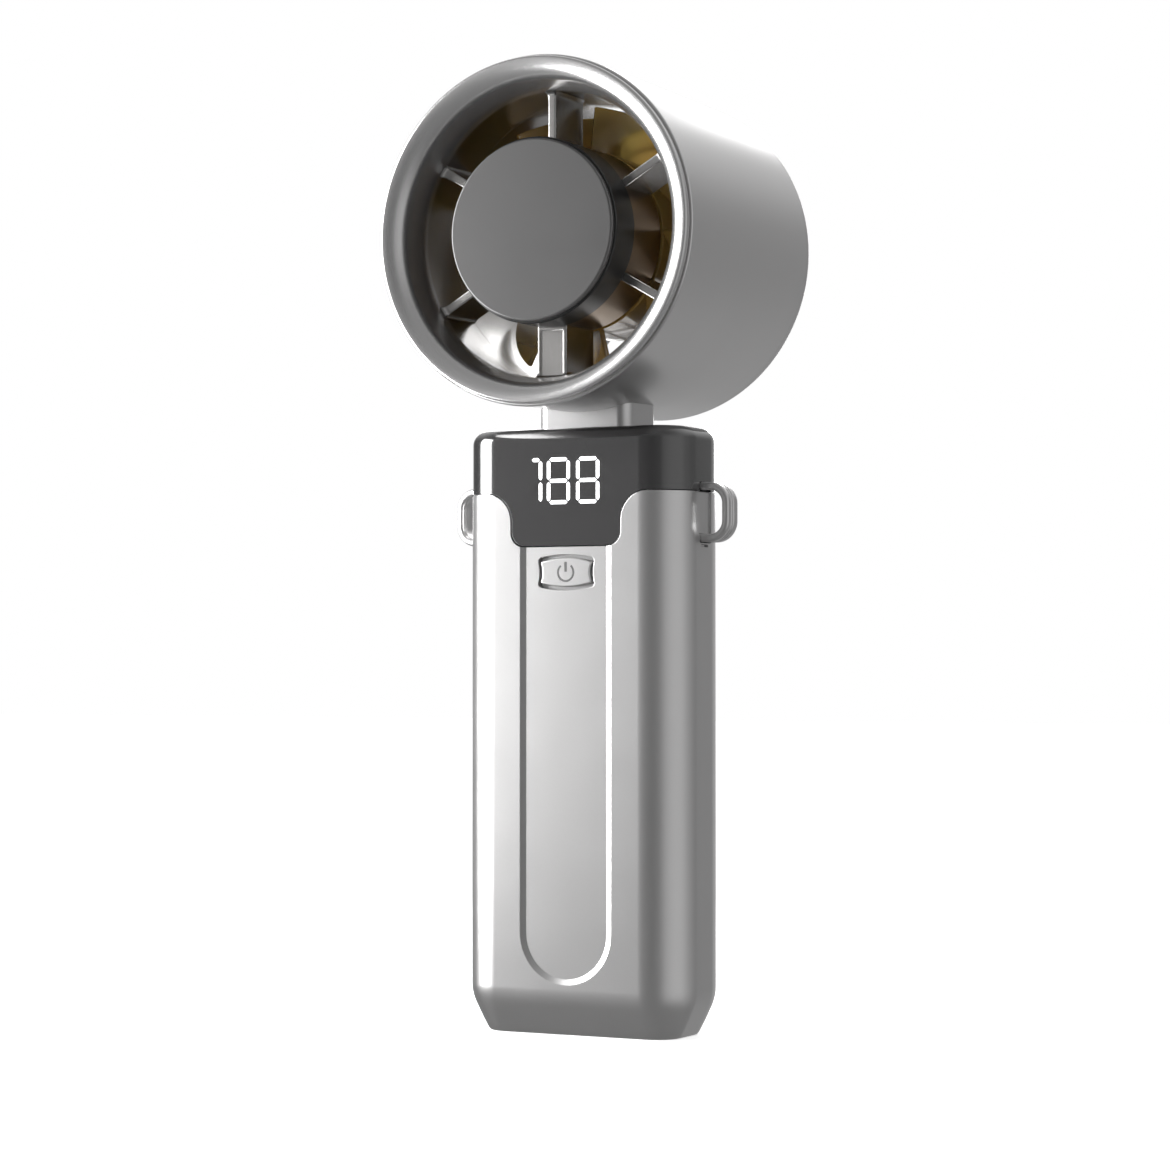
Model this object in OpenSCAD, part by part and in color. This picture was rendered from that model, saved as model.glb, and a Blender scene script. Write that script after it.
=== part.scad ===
// Handheld turbo fan: a barrel head with fixed front vanes on a slim rounded handle.
// The origin is the centre of the flat base. +Z is up and the air leaves towards -Y.

/* [Handle] */
// Width of the handle
body_w = 46; // [45.6:0.2:50]
// Depth of the handle, front to back
body_d = 22.4; // [22.2:0.2:25]
// Radius of the handle's upright corners
corner_r = 8.2; // [7.6:0.1:8.6]
// Height of the silver sleeve, up to the seam with the cap
seam_z = 100.2; // [100:0.1:103]
// Height of the handle with its cap
cap_top_z = 112.1; // [111.9:0.1:113]
// Wall thickness of the handle's shells
wall = 1.5; // [1.2:0.1:1.6]
// Height of the tapered foot of the sleeve
foot_h = 7; // [6.5:0.5:9]
// How far the foot tapers in on each side
foot_inset = 3.2; // [1:0.2:4]

/* [Front panel] */
// Half width of the display tab below the seam
tab_half_w = 11.3; // [10.5:0.1:13]
// Height of the lower end of the display tab
tab_z = 90.2; // [89.8:0.1:92]
// Half width of the long thumb recess
recess_half_w = 8.8; // [8:0.1:9.5]
// Depth of the thumb recess
recess_depth = 0.4; // [0.2:0.1:0.5]
// Height of the lower end of the thumb recess
recess_z = 10; // [9:0.5:30]
// Height of the middle of the power button
button_z = 85.3; // [84.5:0.1:85.5]
// Travel of the power button
button_travel = 0.4; // [0.2:0.1:0.5]
// Height of one display digit
digit_h = 8.6; // [7:0.1:9]
// Width of one display digit
digit_w = 4.8; // [4.4:0.1:5.1]

/* [Barrel] */
// Height of the barrel's axis above the base
axis_z = 147; // [146.8:0.1:149]
// Radius of the barrel at its front edge
barrel_r = 32; // [31.9:0.1:34]
// Radius of the barrel at its rear edge
barrel_rear_r = 31.05; // [31:0.05:32]
// Radius of the air duct
duct_r = 26.3; // [26.2:0.1:26.6]
// Radius of the front disc on the hub
disc_r = 16.6; // [14:0.1:17]
// Radius of the hub and of the impeller's hub
hub_r = 17; // [16.9:0.1:17.3]
// Thickness of a guide vane
vane_t = 1.7; // [1.2:0.1:2]
// Width of the lower vane, which carries the motor leads
strut_w = 6.1; // [5:0.1:7]

/* [Impeller] */
// Number of impeller blades
blade_count = 9; // [5:1:11]
// Radius at the blade tips
blade_r = 25.3; // [24:0.1:25.6]
// Turn of each blade around the axis from its front edge to its rear edge
blade_sweep = 34; // [15:1:40]
// Turn of the impeller at rest
blade_start = 36; // [0:1:40]

/* [Hidden] */
$fn = 96;
EPS = 0.01;

// Colours
silver = [0.72, 0.72, 0.73];
smoke_black = [0.13, 0.13, 0.14];
disc_grey = [0.36, 0.36, 0.36];
amber = [0.42, 0.32, 0.12];
brass = [0.78, 0.62, 0.32];
steel = [0.6, 0.6, 0.62];
copper = [0.72, 0.42, 0.22];
board_green = [0.08, 0.32, 0.2];

// Handle
front_y = -body_d / 2;
cap_gap = 0.1;
tab_fillet = 5.5;
tab_corner = 2.7;
seam_gap = 0.12;
cap_round = 2.6;
floor_t = 2;
cell_r = 9.2;
cell_z = 8;
cell_len = 65;
cell_x = 9.45;
link_t = 0.2;
chassis_t = 1.5;
chassis_x = 20.4;
chassis_d = 11;
top_plate_z = 100.5;
top_plate_t = 2.3;
top_plate_front_y = -6.4;
top_plate_rear_y = 7.4;
shelf_x = 17.6;
shelf_z = 5.2;
boss_r = 2.6;
standoff_r = 2;
standoff_h = 2.2;
ledge_w = 8;
ledge_rear_y = 1.4;
pilot_r = 0.8;
base_screw_x = 12;

// Screws, as head radius, head height and shank radius
base_head_r = 1.9;
base_head_h = 1.2;
base_shank_r = 1;
case_head_r = 1.8;
case_head_h = 1.3;
case_shank_r = 1;

// Display cap
cap_w = body_w - 2 * cap_gap;
cap_d = body_d - 2 * cap_gap;
cap_r = corner_r - cap_gap;
seg_t = 0.7;
seg_gap = 0.13;
display_x = 1.6;
display_z = 102.2;
display_pitch = 6.1;
one_shift = 0.3;
module_half_w = 9.5;
module_low = 96.6;
module_high = 108;
module_rear_y = -7.2;

// Power button
button_half_w = 6;
button_half_h = 2.6;
button_bow = 0.7;
button_pinch = 0.45;
button_gap = 0.62;
button_proud = 0.15;
flange_w = 14.2;
flange_h = 8.2;
flange_front_y = -9.4;
mark_r = 1.8;
mark_stroke = 0.4;
plunger_r = 1.2;
plunger_front_y = -8.4;
plunger_stop = 0.5;
switch_front_y = -6.6;
switch_half = 2.6;

// Boards. A chip is its low X, its high X, its low Z, its high Z and how far it stands out
board_half_w = 16;
board_low = 76;
board_high = 99.6;
board_front_y = -4.6;
board_t = 1.2;
board_screw_x = 13.5;
board_screw_z = 78.5;
board_chips = [[-7, -2, 90, 95, 1.4], [4, 7, 91, 94, 1]];
resistor_row = [9, 11, 78, 79.2, 0.7];
pin_row = [-6, -5.4, 97, 97.6, 2.6];
row_step = 3;
charge_y = 2.6;
charge_t = 1;
charge_half_w = 9;
charge_low = 75.4;
charge_high = 92;
charge_chip = [-3, 3, 86, 90, 1.2];
charge_pin = 0.6;
usb_z = 80;
usb_half_w = 4.6;
usb_half_h = 1.75;
usb_shell_w = 9;
usb_shell_h = 3.3;
usb_shell_t = 0.3;

// Loops
loop_y = 0.7;
loop_d = 4.4;
loop_low = 90.8;
loop_high = 101.8;
loop_out = 28.6;
loop_eye_out = 27.3;
loop_eye_low = 92.6;
loop_eye_high = 100;
loop_foot_x = 20.7;
loop_corner = 3.2;
loop_eye_corner = 1.9;
loop_eye_foot_x = 21.4;

// Neck
neck_w = 19;
neck_d = 12.7;
neck_r = 2.3;
neck_y = 1.75;
neck_foot_z = top_plate_z + top_plate_t;
neck_foot_h = 2;
neck_bore_r = 2.2;
neck_screw_x = 11;
barrel_screw_x = 6.3;
barrel_screw_drop = 27.95;
foot_w = 26;
foot_d = 14;
foot_r = 2;

// Barrel, as distances along Y
lip_y = -25;
lip_centre_r = 31.35;
lip_arc_r = 4.1;
lip_round = 0.6;
throat_y = -18.4;
shell_front_y = -23.4;
shell_rear_y = 28.2;
grille_rear_y = 30.6;
shell_in_r = 30.2;
disc_front_y = -24.6;
hub_front_y = -23.6;
vane_front_y = -16.4;
vane_rear_y = -5.6;
liner_rear_y = 25;
duct_wall = 1.3;
hub_tube_r = 15.7;
hub_tube_t = 1.5;
hub_spigot = 3;
hub_front_t = 1.6;
vane_angles = [30, 90, 150, 210, 330];
strut_bore_r = 1.1;
lead_y = -11;

// Rear guard
rib_count = 18;
rib_t = 0.9;
rib_front_y = 28.6;
guard_hub_r = 8;
guard_ring_w = 0.8;
guard_rings = [12.6, 22.4];

// Motor, as distances along Y
plate_y = -8.2;
flange_y = -6.6;
board_y = -5.2;
can_front_y = -3.6;
can_rear_y = 10.5;
can_r = 15.5;
can_t = 0.8;
magnet_in_r = 13.4;
core_r = 13;
tube_r = 3.9;
bearing_r = 3;
bearing_w = 2.5;
shaft_r = 1.5;
running_gap = 0.04;
motor_screw_r = 8;
tooth_count = 9;
tooth_w = 2;
tooth_front_y = -1;
tooth_rear_y = 5;
coil_in_r = 7.4;
coil_out_r = 11.2;
coil_t = 1.2;
plate_bore_r = 4.2;
lead_hole_r = 1.4;
bush_r = 2.5;

// Impeller
blade_front_y = -4.4;
blade_rear_y = 10.8;
blade_t = 0.9;
hub_rear_y = 12.6;
blade_steps = 8;
blade_rings = 4;

// Motor leads
lead_r = 0.7;
lead_sides = 8;

// Places a shape drawn around +Z so that it lies around the barrel's axis, with +Z as +Y
module on_axis() {
    translate([0, 0, axis_z]) rotate([-90, 0, 0]) children();
}

// A ring or a disc around the barrel's axis, from y0 to y1
module ring(r_out, r_in, y0, y1) {
    on_axis() translate([0, 0, y0]) difference() {
        cylinder(r = r_out, h = y1 - y0);
        if (r_in > 0) translate([0, 0, -1]) cylinder(r = r_in, h = y1 - y0 + 2);
    }
}

// A rounded rectangle, made of exact arcs
module rounded(w, d, r) {
    square([w - 2 * r, d], center = true);
    square([w, d - 2 * r], center = true);
    for (sx = [-1, 1], sy = [-1, 1])
        translate([sx * (w / 2 - r), sy * (d / 2 - r)]) circle(r);
}

module post(w, d, r, z0, z1) {
    translate([0, 0, z0]) linear_extrude(z1 - z0) rounded(w, d, r);
}

// A box given by its low and high corners
module block(low, high) {
    translate(low) cube(high - low);
}

// Draws a flat shape of X and Z, and gives it depth from y0 to y1
module facing(y0, y1) {
    translate([0, y1, 0]) rotate([90, 0, 0]) linear_extrude(y1 - y0) children();
}

// A cross slot cut up into a screw head from below
module cross_slot(reach, half_t, depth) {
    block([-reach, -half_t, -1], [reach, half_t, depth]);
    block([-half_t, -reach, -1], [half_t, reach, depth]);
}

module screw(head_r, head_h, shank_r, shank_h) {
    cylinder(r = head_r, h = head_h);
    translate([0, 0, head_h]) cylinder(r = shank_r, h = shank_h);
}

// Display tab: shoulders curve in from the seam, and the lower corners are round
function arc(cx, cz, r, a0, a1, n) =
    [for (i = [0:n]) [cx + r * cos(a0 + (a1 - a0) * i / n), cz + r * sin(a0 + (a1 - a0) * i / n)]];

function tab_half(grow) = concat(
    arc(tab_half_w + tab_fillet, seam_z - tab_fillet - grow, tab_fillet - grow, 90, 180, 12),
    arc(tab_half_w + grow - tab_corner, tab_z + tab_corner - grow, tab_corner, 0, -90, 8));

function mirrored(points) = [for (i = [len(points) - 1:-1:0]) [-points[i][0], points[i][1]]];

function tab_outline(grow) = concat(
    [[tab_half_w + tab_fillet, seam_z + 1]], tab_half(grow),
    mirrored(tab_half(grow)), [[-tab_half_w - tab_fillet, seam_z + 1]]);

module thumb_outline(half_w) {
    translate([0, recess_z + half_w]) circle(half_w);
    translate([-half_w, recess_z + half_w]) square([2 * half_w, tab_z - recess_z - half_w]);
}

// Power button: the top and bottom bow out and the sides pinch in

function button_outline(grow) = let (n = 8, w = button_half_w + grow, h = button_half_h + grow)
    concat(
        [for (i = [-n:n - 1]) let (t = i / n) [w * t, h + button_bow * (1 - t * t)]],
        [for (i = [n:-1:1 - n]) let (t = i / n) [w - button_pinch * (1 - t * t), h * t]],
        [for (i = [n:-1:1 - n]) let (t = i / n) [w * t, -h - button_bow * (1 - t * t)]],
        [for (i = [-n:n - 1]) let (t = i / n) [-w + button_pinch * (1 - t * t), h * t]]);

// The lanyard loops pass through the shells here
module loop_slots(grow) {
    for (sx = [-1, 1], z = [[loop_low, loop_eye_low], [loop_eye_high, loop_high]])
        block([sx * 22.6 - 2, loop_y - loop_d / 2 - grow, z[0] - grow],
              [sx * 22.6 + 2, loop_y + loop_d / 2 + grow, z[1] + grow]);
}

module sleeve_outside() {
    post(body_w, body_d, corner_r, foot_h, seam_z - seam_gap);
    hull() {
        post(body_w, body_d, corner_r, foot_h, foot_h + EPS);
        post(body_w - 2 * foot_inset, body_d - 2 * foot_inset, corner_r - foot_inset, 0, EPS);
    }
}

module sleeve_inside() {
    post(body_w - 2 * wall, body_d - 2 * wall, corner_r - wall, foot_h, seam_z + 1);
    post(body_w - 2 * foot_inset - wall, body_d - 2 * foot_inset - wall, corner_r - foot_inset,
         floor_t, foot_h + EPS);
}

module sleeve() {
    color(silver) difference() {
        sleeve_outside();
        sleeve_inside();
        facing(front_y - 1, 0) polygon(tab_outline(seam_gap));
        facing(front_y - 1, front_y + recess_depth) thumb_outline(recess_half_w);
        facing(front_y - 1, front_y + wall + 1) translate([0, button_z]) polygon(button_outline(0));
        loop_slots(seam_gap);
        block([-usb_half_w, 0, usb_z - usb_half_h], [usb_half_w, body_d, usb_z + usb_half_h]);
        for (sx = [-1, 1]) translate([sx * base_screw_x, 0, 0]) {
            translate([0, 0, -1]) cylinder(r = base_head_r, h = 1 + base_head_h);
            cylinder(r = base_shank_r, h = floor_t + 1);
        }
    }
}

module base_screws() {
    sunk = 0.2;
    color(steel) for (sx = [-1, 1]) translate([sx * base_screw_x, 0, sunk]) difference() {
        screw(base_head_r, base_head_h - sunk, base_shank_r, 5.8);
        cross_slot(1.2, 0.2, 0.4);
    }
}

module cap_outside() {
    post(cap_w, cap_d, cap_r, seam_z, cap_top_z - cap_round);
    hull() for (a = [0:15:90])
        post(cap_w - 2 * cap_round * (1 - cos(a)), cap_d - 2 * cap_round * (1 - cos(a)),
             cap_r - cap_round * (1 - cos(a)), cap_top_z - cap_round - EPS,
             cap_top_z - cap_round * (1 - sin(a)));
}

// The tab is the part of the cap's front wall that reaches down in front of the sleeve
module cap_tab() {
    intersection() {
        facing(front_y - 1, front_y + corner_r - 1) polygon(tab_outline(0));
        difference() {
            post(cap_w, cap_d, cap_r, tab_z, seam_z + EPS);
            post(body_w - 2 * wall, body_d - 2 * wall, corner_r - wall, tab_z - 1, seam_z + 1);
        }
    }
}

module top_cap() {
    color(smoke_black) difference() {
        union() {
            difference() {
                cap_outside();
                post(body_w - 2 * wall, body_d - 2 * wall, corner_r - wall, seam_z - 1,
                     cap_top_z - wall - 0.3);
            }
            cap_tab();
        }
        facing(front_y - 1, front_y + wall + 1) all_digits();
        translate([0, neck_y, 0]) post(neck_w + 0.2, neck_d + 0.2, neck_r + 0.1, seam_z, cap_top_z + 1);
        loop_slots(seam_gap);
    }
}

// Seven-segment digits

// One bar with pointed ends, lying along X
module bar(length) {
    l = length / 2 - seg_gap;
    t = seg_t / 2;
    polygon([[-l, 0], [t - l, t], [l - t, t], [l, 0], [l - t, -t], [t - l, -t]]);
}

module digit(bars) {
    w = digit_w - seg_t;
    h = (digit_h - seg_t) / 2;
    for (row = [-1:1]) if (bars[row + 1]) translate([0, row * h]) bar(w);
    for (row = [-1, 1]) {
        translate([w / 2, row * h / 2]) rotate(90) bar(h);
        if (bars[3]) translate([-w / 2, row * h / 2]) rotate(90) bar(h);
    }
}

module all_digits() {
    translate([display_x, display_z]) {
        translate([display_pitch / 2, 0]) digit([true, true, true, true]);
        translate([-display_pitch / 2, 0]) digit([true, true, true, true]);
        translate([-1.5 * display_pitch + one_shift, 0]) {
            digit([false, false, false, false]);
            translate([digit_w / 2 - 1.75 * seg_t, digit_h / 2 - 0.8 * seg_t]) rotate(16) bar(1.7 * seg_t);
        }
    }
}

module display_digits() {
    color("white") facing(front_y + cap_gap - 0.03, front_y + wall) all_digits();
}

module display_module() {
    color(board_green) difference() {
        block([-module_half_w, front_y + wall, module_low], [module_half_w, module_rear_y, module_high]);
        facing(front_y, front_y + wall + 1) all_digits();
    }
}

// A chip on the front of a board whose face is at y
module chip(c, y) {
    block([c[0], y - c[4], c[2]], [c[1], y, c[3]]);
}

module main_board() {
    color(board_green) difference() {
        union() {
            block([-board_half_w, board_front_y, board_low],
                  [board_half_w, board_front_y + board_t, board_high]);
            for (c = board_chips) chip(c, board_front_y);
            for (i = [0:4]) translate([0, 0, row_step * i]) chip(resistor_row, board_front_y);
            for (i = [0:4]) translate([row_step * i, 0, 0]) chip(pin_row, board_front_y);
        }
        for (sx = [-1, 1]) translate([sx * board_screw_x, 0, board_screw_z]) rotate([90, 0, 0])
            cylinder(r = case_shank_r, h = 40, center = true);
    }
}

module tact_switch() {
    color(smoke_black) difference() {
        block([-switch_half, switch_front_y, button_z - switch_half],
              [switch_half, board_front_y, button_z + switch_half]);
        translate([0, 0, button_z]) rotate([90, 0, 0]) translate([0, 0, -board_front_y + 0.3])
            cylinder(r = plunger_r + 0.08, h = 5);
    }
}

module switch_plunger() {
    color("ivory") translate([0, plunger_front_y, button_z]) rotate([-90, 0, 0])
        cylinder(r = plunger_r, h = board_front_y - button_travel - plunger_stop - plunger_front_y);
}

module power_button() {
    face_y = front_y + recess_depth - button_proud;
    color(silver) difference() {
        union() {
            facing(face_y, flange_front_y) translate([0, button_z]) polygon(button_outline(-button_gap));
            facing(flange_front_y, plunger_front_y) translate([0, button_z])
                square([flange_w, flange_h], center = true);
        }
        facing(face_y - 1, face_y + button_proud) translate([0, button_z]) power_mark();
    }
}

// A generic power mark: an open circle with a short upright stroke
module power_mark() {
    difference() {
        circle(mark_r);
        circle(mark_r - mark_stroke);
        polygon([[0, 0], [mark_r, 2 * mark_r], [-mark_r, 2 * mark_r]]);
    }
    translate([-0.7 * mark_stroke, 0.1]) square([1.4 * mark_stroke, mark_r]);
}

module charge_board() {
    color(board_green) {
        block([-charge_half_w, charge_y, charge_low], [charge_half_w, charge_y + charge_t, charge_high]);
        chip(charge_chip, charge_y + charge_t + charge_chip[4]);
        for (i = [-1:1]) translate([row_step * i - charge_pin / 2, 0, board_low + 5 * row_step])
            block([0, board_front_y + board_t, 0], [charge_pin, charge_y, charge_pin]);
    }
}

module usb_port() {
    color(steel) translate([0, charge_y + charge_t, usb_z]) rotate([-90, 0, 0]) difference() {
        linear_extrude(body_d / 2 - charge_y - charge_t - cap_gap) rounded(usb_shell_w, usb_shell_h, 1.6);
        translate([0, 0, 1]) linear_extrude(20) difference() {
            rounded(usb_shell_w - 2 * usb_shell_t, usb_shell_h - 2 * usb_shell_t, 1.3);
            square([6.6, 0.7], center = true);
        }
    }
}

// The frame inside the sleeve: two side rails, shelves under and over the cells, posts for
// the board's screws, and the plate that the neck is screwed to
module chassis() {
    board_rear_y = board_front_y + board_t;
    rail_z = foot_h + 0.1;
    color([0.2, 0.2, 0.21]) difference() {
        union() {
            for (sx = [-1, 1]) {
                translate([sx * (chassis_x - chassis_t / 2), 0, 0])
                    block([-chassis_t / 2, -chassis_d / 2, rail_z],
                          [chassis_t / 2, chassis_d / 2, top_plate_z]);
                translate([sx * base_screw_x, 0, floor_t]) cylinder(r = boss_r, h = shelf_z - floor_t + 0.1);
                translate([sx * board_screw_x, board_rear_y, board_screw_z]) rotate([-90, 0, 0])
                    cylinder(r = standoff_r, h = standoff_h);
                translate([sx * (chassis_x - ledge_w / 2), 0, 0])
                    block([-ledge_w / 2, board_rear_y + standoff_h, board_low - 1],
                          [ledge_w / 2, ledge_rear_y, board_low + 6]);
            }
            block([-shelf_x, -chassis_d / 2, shelf_z], [shelf_x, chassis_d / 2, cell_z - link_t]);
            block([-chassis_x, -chassis_d / 2, rail_z], [chassis_x, chassis_d / 2, cell_z - link_t]);
            block([-chassis_x, -chassis_d / 2, cell_z + cell_len + 2 * link_t],
                  [chassis_x, chassis_d / 2, board_low - 0.8]);
            block([-chassis_x, top_plate_front_y, top_plate_z],
                  [chassis_x, top_plate_rear_y, top_plate_z + top_plate_t]);
        }
        for (sx = [-1, 1]) {
            translate([sx * base_screw_x, 0, 0]) cylinder(r = base_shank_r, h = 7);
            translate([sx * neck_screw_x, neck_y, top_plate_z - 1]) cylinder(r = case_shank_r, h = 5);
            translate([sx * board_screw_x, 0, board_screw_z]) rotate([90, 0, 0])
                cylinder(r = pilot_r, h = 12, center = true);
        }
        translate([0, neck_y, top_plate_z - 1]) cylinder(r = neck_bore_r + 1, h = 5);
    }
}

module cell() {
    translate([0, 0, cell_z]) {
        cylinder(r = cell_r, h = cell_len - 0.6);
        cylinder(r = 4, h = cell_len);
    }
}

module left_cell() {
    color([0.18, 0.36, 0.5]) translate([-cell_x, 0, 0]) cell();
}

module right_cell() {
    color([0.18, 0.36, 0.5]) translate([cell_x, 0, 0]) cell();
}

module cell_links() {
    color(steel) {
        block([-cell_x - 3.5, -3, cell_z - link_t], [cell_x + 3.5, 3, cell_z]);
        block([-cell_x - 3.5, -3, cell_z + cell_len], [cell_x + 3.5, 3, cell_z + cell_len + link_t]);
    }
}

// A lanyard loop: a round-cornered band with its two legs held in the handle's side
module lanyard_loop() {
    color(silver) facing(loop_y - loop_d / 2, loop_y + loop_d / 2) difference() {
        d_shape(loop_foot_x, loop_out, loop_low, loop_high, loop_corner);
        d_shape(loop_eye_foot_x, loop_eye_out, loop_eye_low, loop_eye_high, loop_eye_corner);
    }
}

// A flat shape of X and Z with its two outer corners rounded
module d_shape(x0, x1, z0, z1, r) {
    translate([x0, z0]) square([x1 - x0 - r, z1 - z0]);
    translate([x0, z0 + r]) square([x1 - x0, z1 - z0 - 2 * r]);
    for (z = [z0 + r, z1 - r]) translate([x1 - r, z]) circle(r);
}

module right_loop() {
    lanyard_loop();
}

module left_loop() {
    mirror([1, 0, 0]) lanyard_loop();
}

// The barrel's outside, as one solid of revolution
module barrel_solid() {
    on_axis() rotate_extrude() polygon([[0, shell_front_y], [barrel_r - 0.4, shell_front_y],
        [barrel_r, shell_front_y + 0.4], [barrel_rear_r, shell_rear_y], [0, shell_rear_y]]);
}

module barrel_shell() {
    color(silver) difference() {
        barrel_solid();
        ring(shell_in_r, 0, shell_front_y - 1, shell_rear_y + 1);
        translate([0, neck_y, axis_z - 40]) cylinder(r = neck_bore_r, h = 20);
        for (sx = [-1, 1]) translate([sx * barrel_screw_x, neck_y, axis_z - 40])
            cylinder(r = case_shank_r, h = 20);
    }
}

module neck() {
    color(silver) difference() {
        translate([0, neck_y, 0]) {
            post(neck_w, neck_d, neck_r, neck_foot_z, axis_z - 27);
            post(foot_w, foot_d, foot_r, neck_foot_z, neck_foot_z + neck_foot_h);
        }
        barrel_solid();
        translate([0, neck_y, 90]) cylinder(r = neck_bore_r, h = 50);
        for (sx = [-1, 1]) {
            translate([sx * barrel_screw_x, neck_y, 108]) cylinder(r = case_shank_r, h = 20);
            translate([sx * neck_screw_x, neck_y, 90])
                cylinder(r = case_shank_r, h = neck_foot_z + neck_foot_h - 0.1 - 90);
        }
    }
}

module neck_screws() {
    color(steel) for (sx = [-1, 1]) translate([sx * neck_screw_x, neck_y, top_plate_z - case_head_h])
        screw(case_head_r, case_head_h, case_shank_r, top_plate_t + 1.8);
}

// These hold the barrel on the neck, from inside the barrel's double wall
module barrel_screws() {
    color(steel) for (sx = [-1, 1]) translate([sx * barrel_screw_x, neck_y, axis_z - barrel_screw_drop])
        mirror([0, 0, 1]) screw(case_head_r, 1.1, case_shank_r, 8.6);
}

// The front lip: a broad arc turns in from the rim and runs down through the throat to the duct
module front_ring() {
    rim_r = barrel_r - 0.5;
    color(silver) on_axis() rotate_extrude() polygon(concat(
        [[shell_in_r, shell_front_y + 0.001], [rim_r, shell_front_y + 0.001]],
        [for (a = [0:15:90]) [rim_r - lip_round * (1 - cos(a)), lip_y + lip_round * (1 - sin(a))]],
        [for (a = [8:8:72]) [lip_centre_r - lip_arc_r * sin(a), lip_y + lip_arc_r * (1 - cos(a))]],
        [[duct_r, throat_y], [duct_r, vane_front_y], [shell_in_r, vane_front_y]]));
}

// A radial vane at an angle seen from the front, anticlockwise from +X
module vane(angle, width) {
    on_axis() rotate(-angle) block([hub_tube_r - 0.5, -width / 2, vane_front_y],
                                   [duct_r + 0.5, width / 2, vane_rear_y]);
}

module vane_ring() {
    color([0.62, 0.62, 0.63]) difference() {
        union() {
            ring(duct_r + duct_wall, duct_r, vane_front_y, vane_rear_y);
            ring(shell_in_r, duct_r, vane_front_y, vane_front_y + 2);
            ring(hub_r, hub_tube_r - hub_tube_t, vane_front_y, vane_rear_y);
            ring(hub_tube_r, hub_tube_r - hub_tube_t, vane_front_y - hub_spigot, vane_front_y + EPS);
            ring(hub_tube_r - 1, 0, plate_y, flange_y);
            for (a = vane_angles) vane(a, vane_t);
            vane(270, strut_w);
        }
        ring(plate_bore_r, 0, plate_y - 1, flange_y + 1);
        on_axis() for (a = [30, 150, 270]) rotate(a) translate([motor_screw_r, 0, plate_y - 1])
            cylinder(r = 0.8, h = 4);
        translate([0, lead_y, axis_z - 30]) cylinder(r = strut_bore_r, h = 18);
        translate([0, -7.4, axis_z - 11.9]) rotate([90, 0, 0])
            cylinder(r = lead_hole_r, h = 4, center = true);
    }
}

// The black cup in front of the vanes, which fits over the vane ring's spigot
module hub_cap() {
    color(smoke_black) difference() {
        ring(hub_r, 0, hub_front_y, vane_front_y);
        ring(hub_tube_r, 0, hub_front_y + hub_front_t, vane_front_y + 1);
    }
}

module hub_disc() {
    color(disc_grey) on_axis() rotate_extrude() polygon([[0, disc_front_y], [disc_r - 0.3, disc_front_y],
        [disc_r, disc_front_y + 0.3], [disc_r, hub_front_y], [0, hub_front_y]]);
}

module duct_liner() {
    color([0.66, 0.66, 0.67]) {
        ring(duct_r + duct_wall, duct_r, vane_rear_y, liner_rear_y);
        ring(shell_in_r, duct_r, liner_rear_y - 2, liner_rear_y);
    }
}

// Rear guard: fine radial ribs and two rings between a middle disc and the outer rim

module rear_grille() {
    color(silver) {
        ring(barrel_rear_r - 0.05, duct_r + 0.3, shell_rear_y, grille_rear_y);
        ring(shell_in_r, duct_r + 0.9, liner_rear_y, shell_rear_y + EPS);
        ring(guard_hub_r, 0, rib_front_y, grille_rear_y - 0.2);
        for (r = guard_rings) ring(r + guard_ring_w, r, rib_front_y, grille_rear_y - 0.4);
        on_axis() for (i = [0.5:rib_count - 0.5]) rotate(360 * i / rib_count)
            block([guard_hub_r - 0.5, -rib_t / 2, rib_front_y],
                  [duct_r + 0.6, rib_t / 2, grille_rear_y - 0.3]);
    }
}

module motor_base() {
    color([0.5, 0.5, 0.52]) difference() {
        union() {
            ring(11, 0, flange_y, board_y);
            ring(tube_r, 0, flange_y, 8);
        }
        ring(bearing_r, 0, flange_y - 1, 9);
        on_axis() for (a = [30, 150, 270]) rotate(a) translate([motor_screw_r, 0, flange_y - 1])
            cylinder(r = 0.8, h = 4);
    }
}

module motor_screws() {
    color(steel) on_axis() for (a = [30, 150, 270]) rotate(a) translate([motor_screw_r, 0, plate_y - 1])
        screw(1.5, 1, 0.8, 2.9);
}

module motor_board() {
    color(board_green) ring(12.8, tube_r, board_y, board_y + 0.9);
}

module bearing(y) {
    color(steel) ring(bearing_r, shaft_r + running_gap, y, y + bearing_w);
}

module front_bearing() {
    bearing(-5.6);
}

module rear_bearing() {
    bearing(5.2);
}

module stator_core() {
    color([0.35, 0.35, 0.37]) {
        ring(6, tube_r, tooth_front_y, tooth_rear_y);
        on_axis() for (i = [0:tooth_count - 1]) rotate(360 * i / tooth_count) {
            block([5.5, -tooth_w / 2, tooth_front_y], [12, tooth_w / 2, tooth_rear_y]);
            intersection() {
                block([11.4, -3.4, tooth_front_y], [14, 3.4, tooth_rear_y]);
                translate([0, 0, tooth_front_y - 1]) cylinder(r = core_r, h = 8);
            }
        }
    }
}

// The copper winding round each tooth
module stator_coils() {
    color(copper) on_axis() for (i = [0:tooth_count - 1]) rotate(360 * i / tooth_count) difference() {
        block([coil_in_r, -tooth_w, tooth_front_y - coil_t], [coil_out_r, tooth_w, tooth_rear_y + coil_t]);
        block([coil_in_r - 1, -tooth_w / 2, tooth_front_y], [coil_out_r + 1, tooth_w / 2, tooth_rear_y]);
    }
}

module rotor_can() {
    color(steel) difference() {
        ring(can_r, 0, can_front_y, can_rear_y);
        ring(can_r - can_t, 0, can_front_y - 1, can_rear_y - can_t);
        ring(bush_r, 0, 0, can_rear_y + 1);
    }
}

module magnet_ring() {
    color([0.25, 0.25, 0.27]) ring(can_r - can_t, magnet_in_r, -3, 7);
}

module motor_shaft() {
    color([0.75, 0.75, 0.77]) ring(shaft_r, 0, -6.9, 11.6);
}

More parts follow.
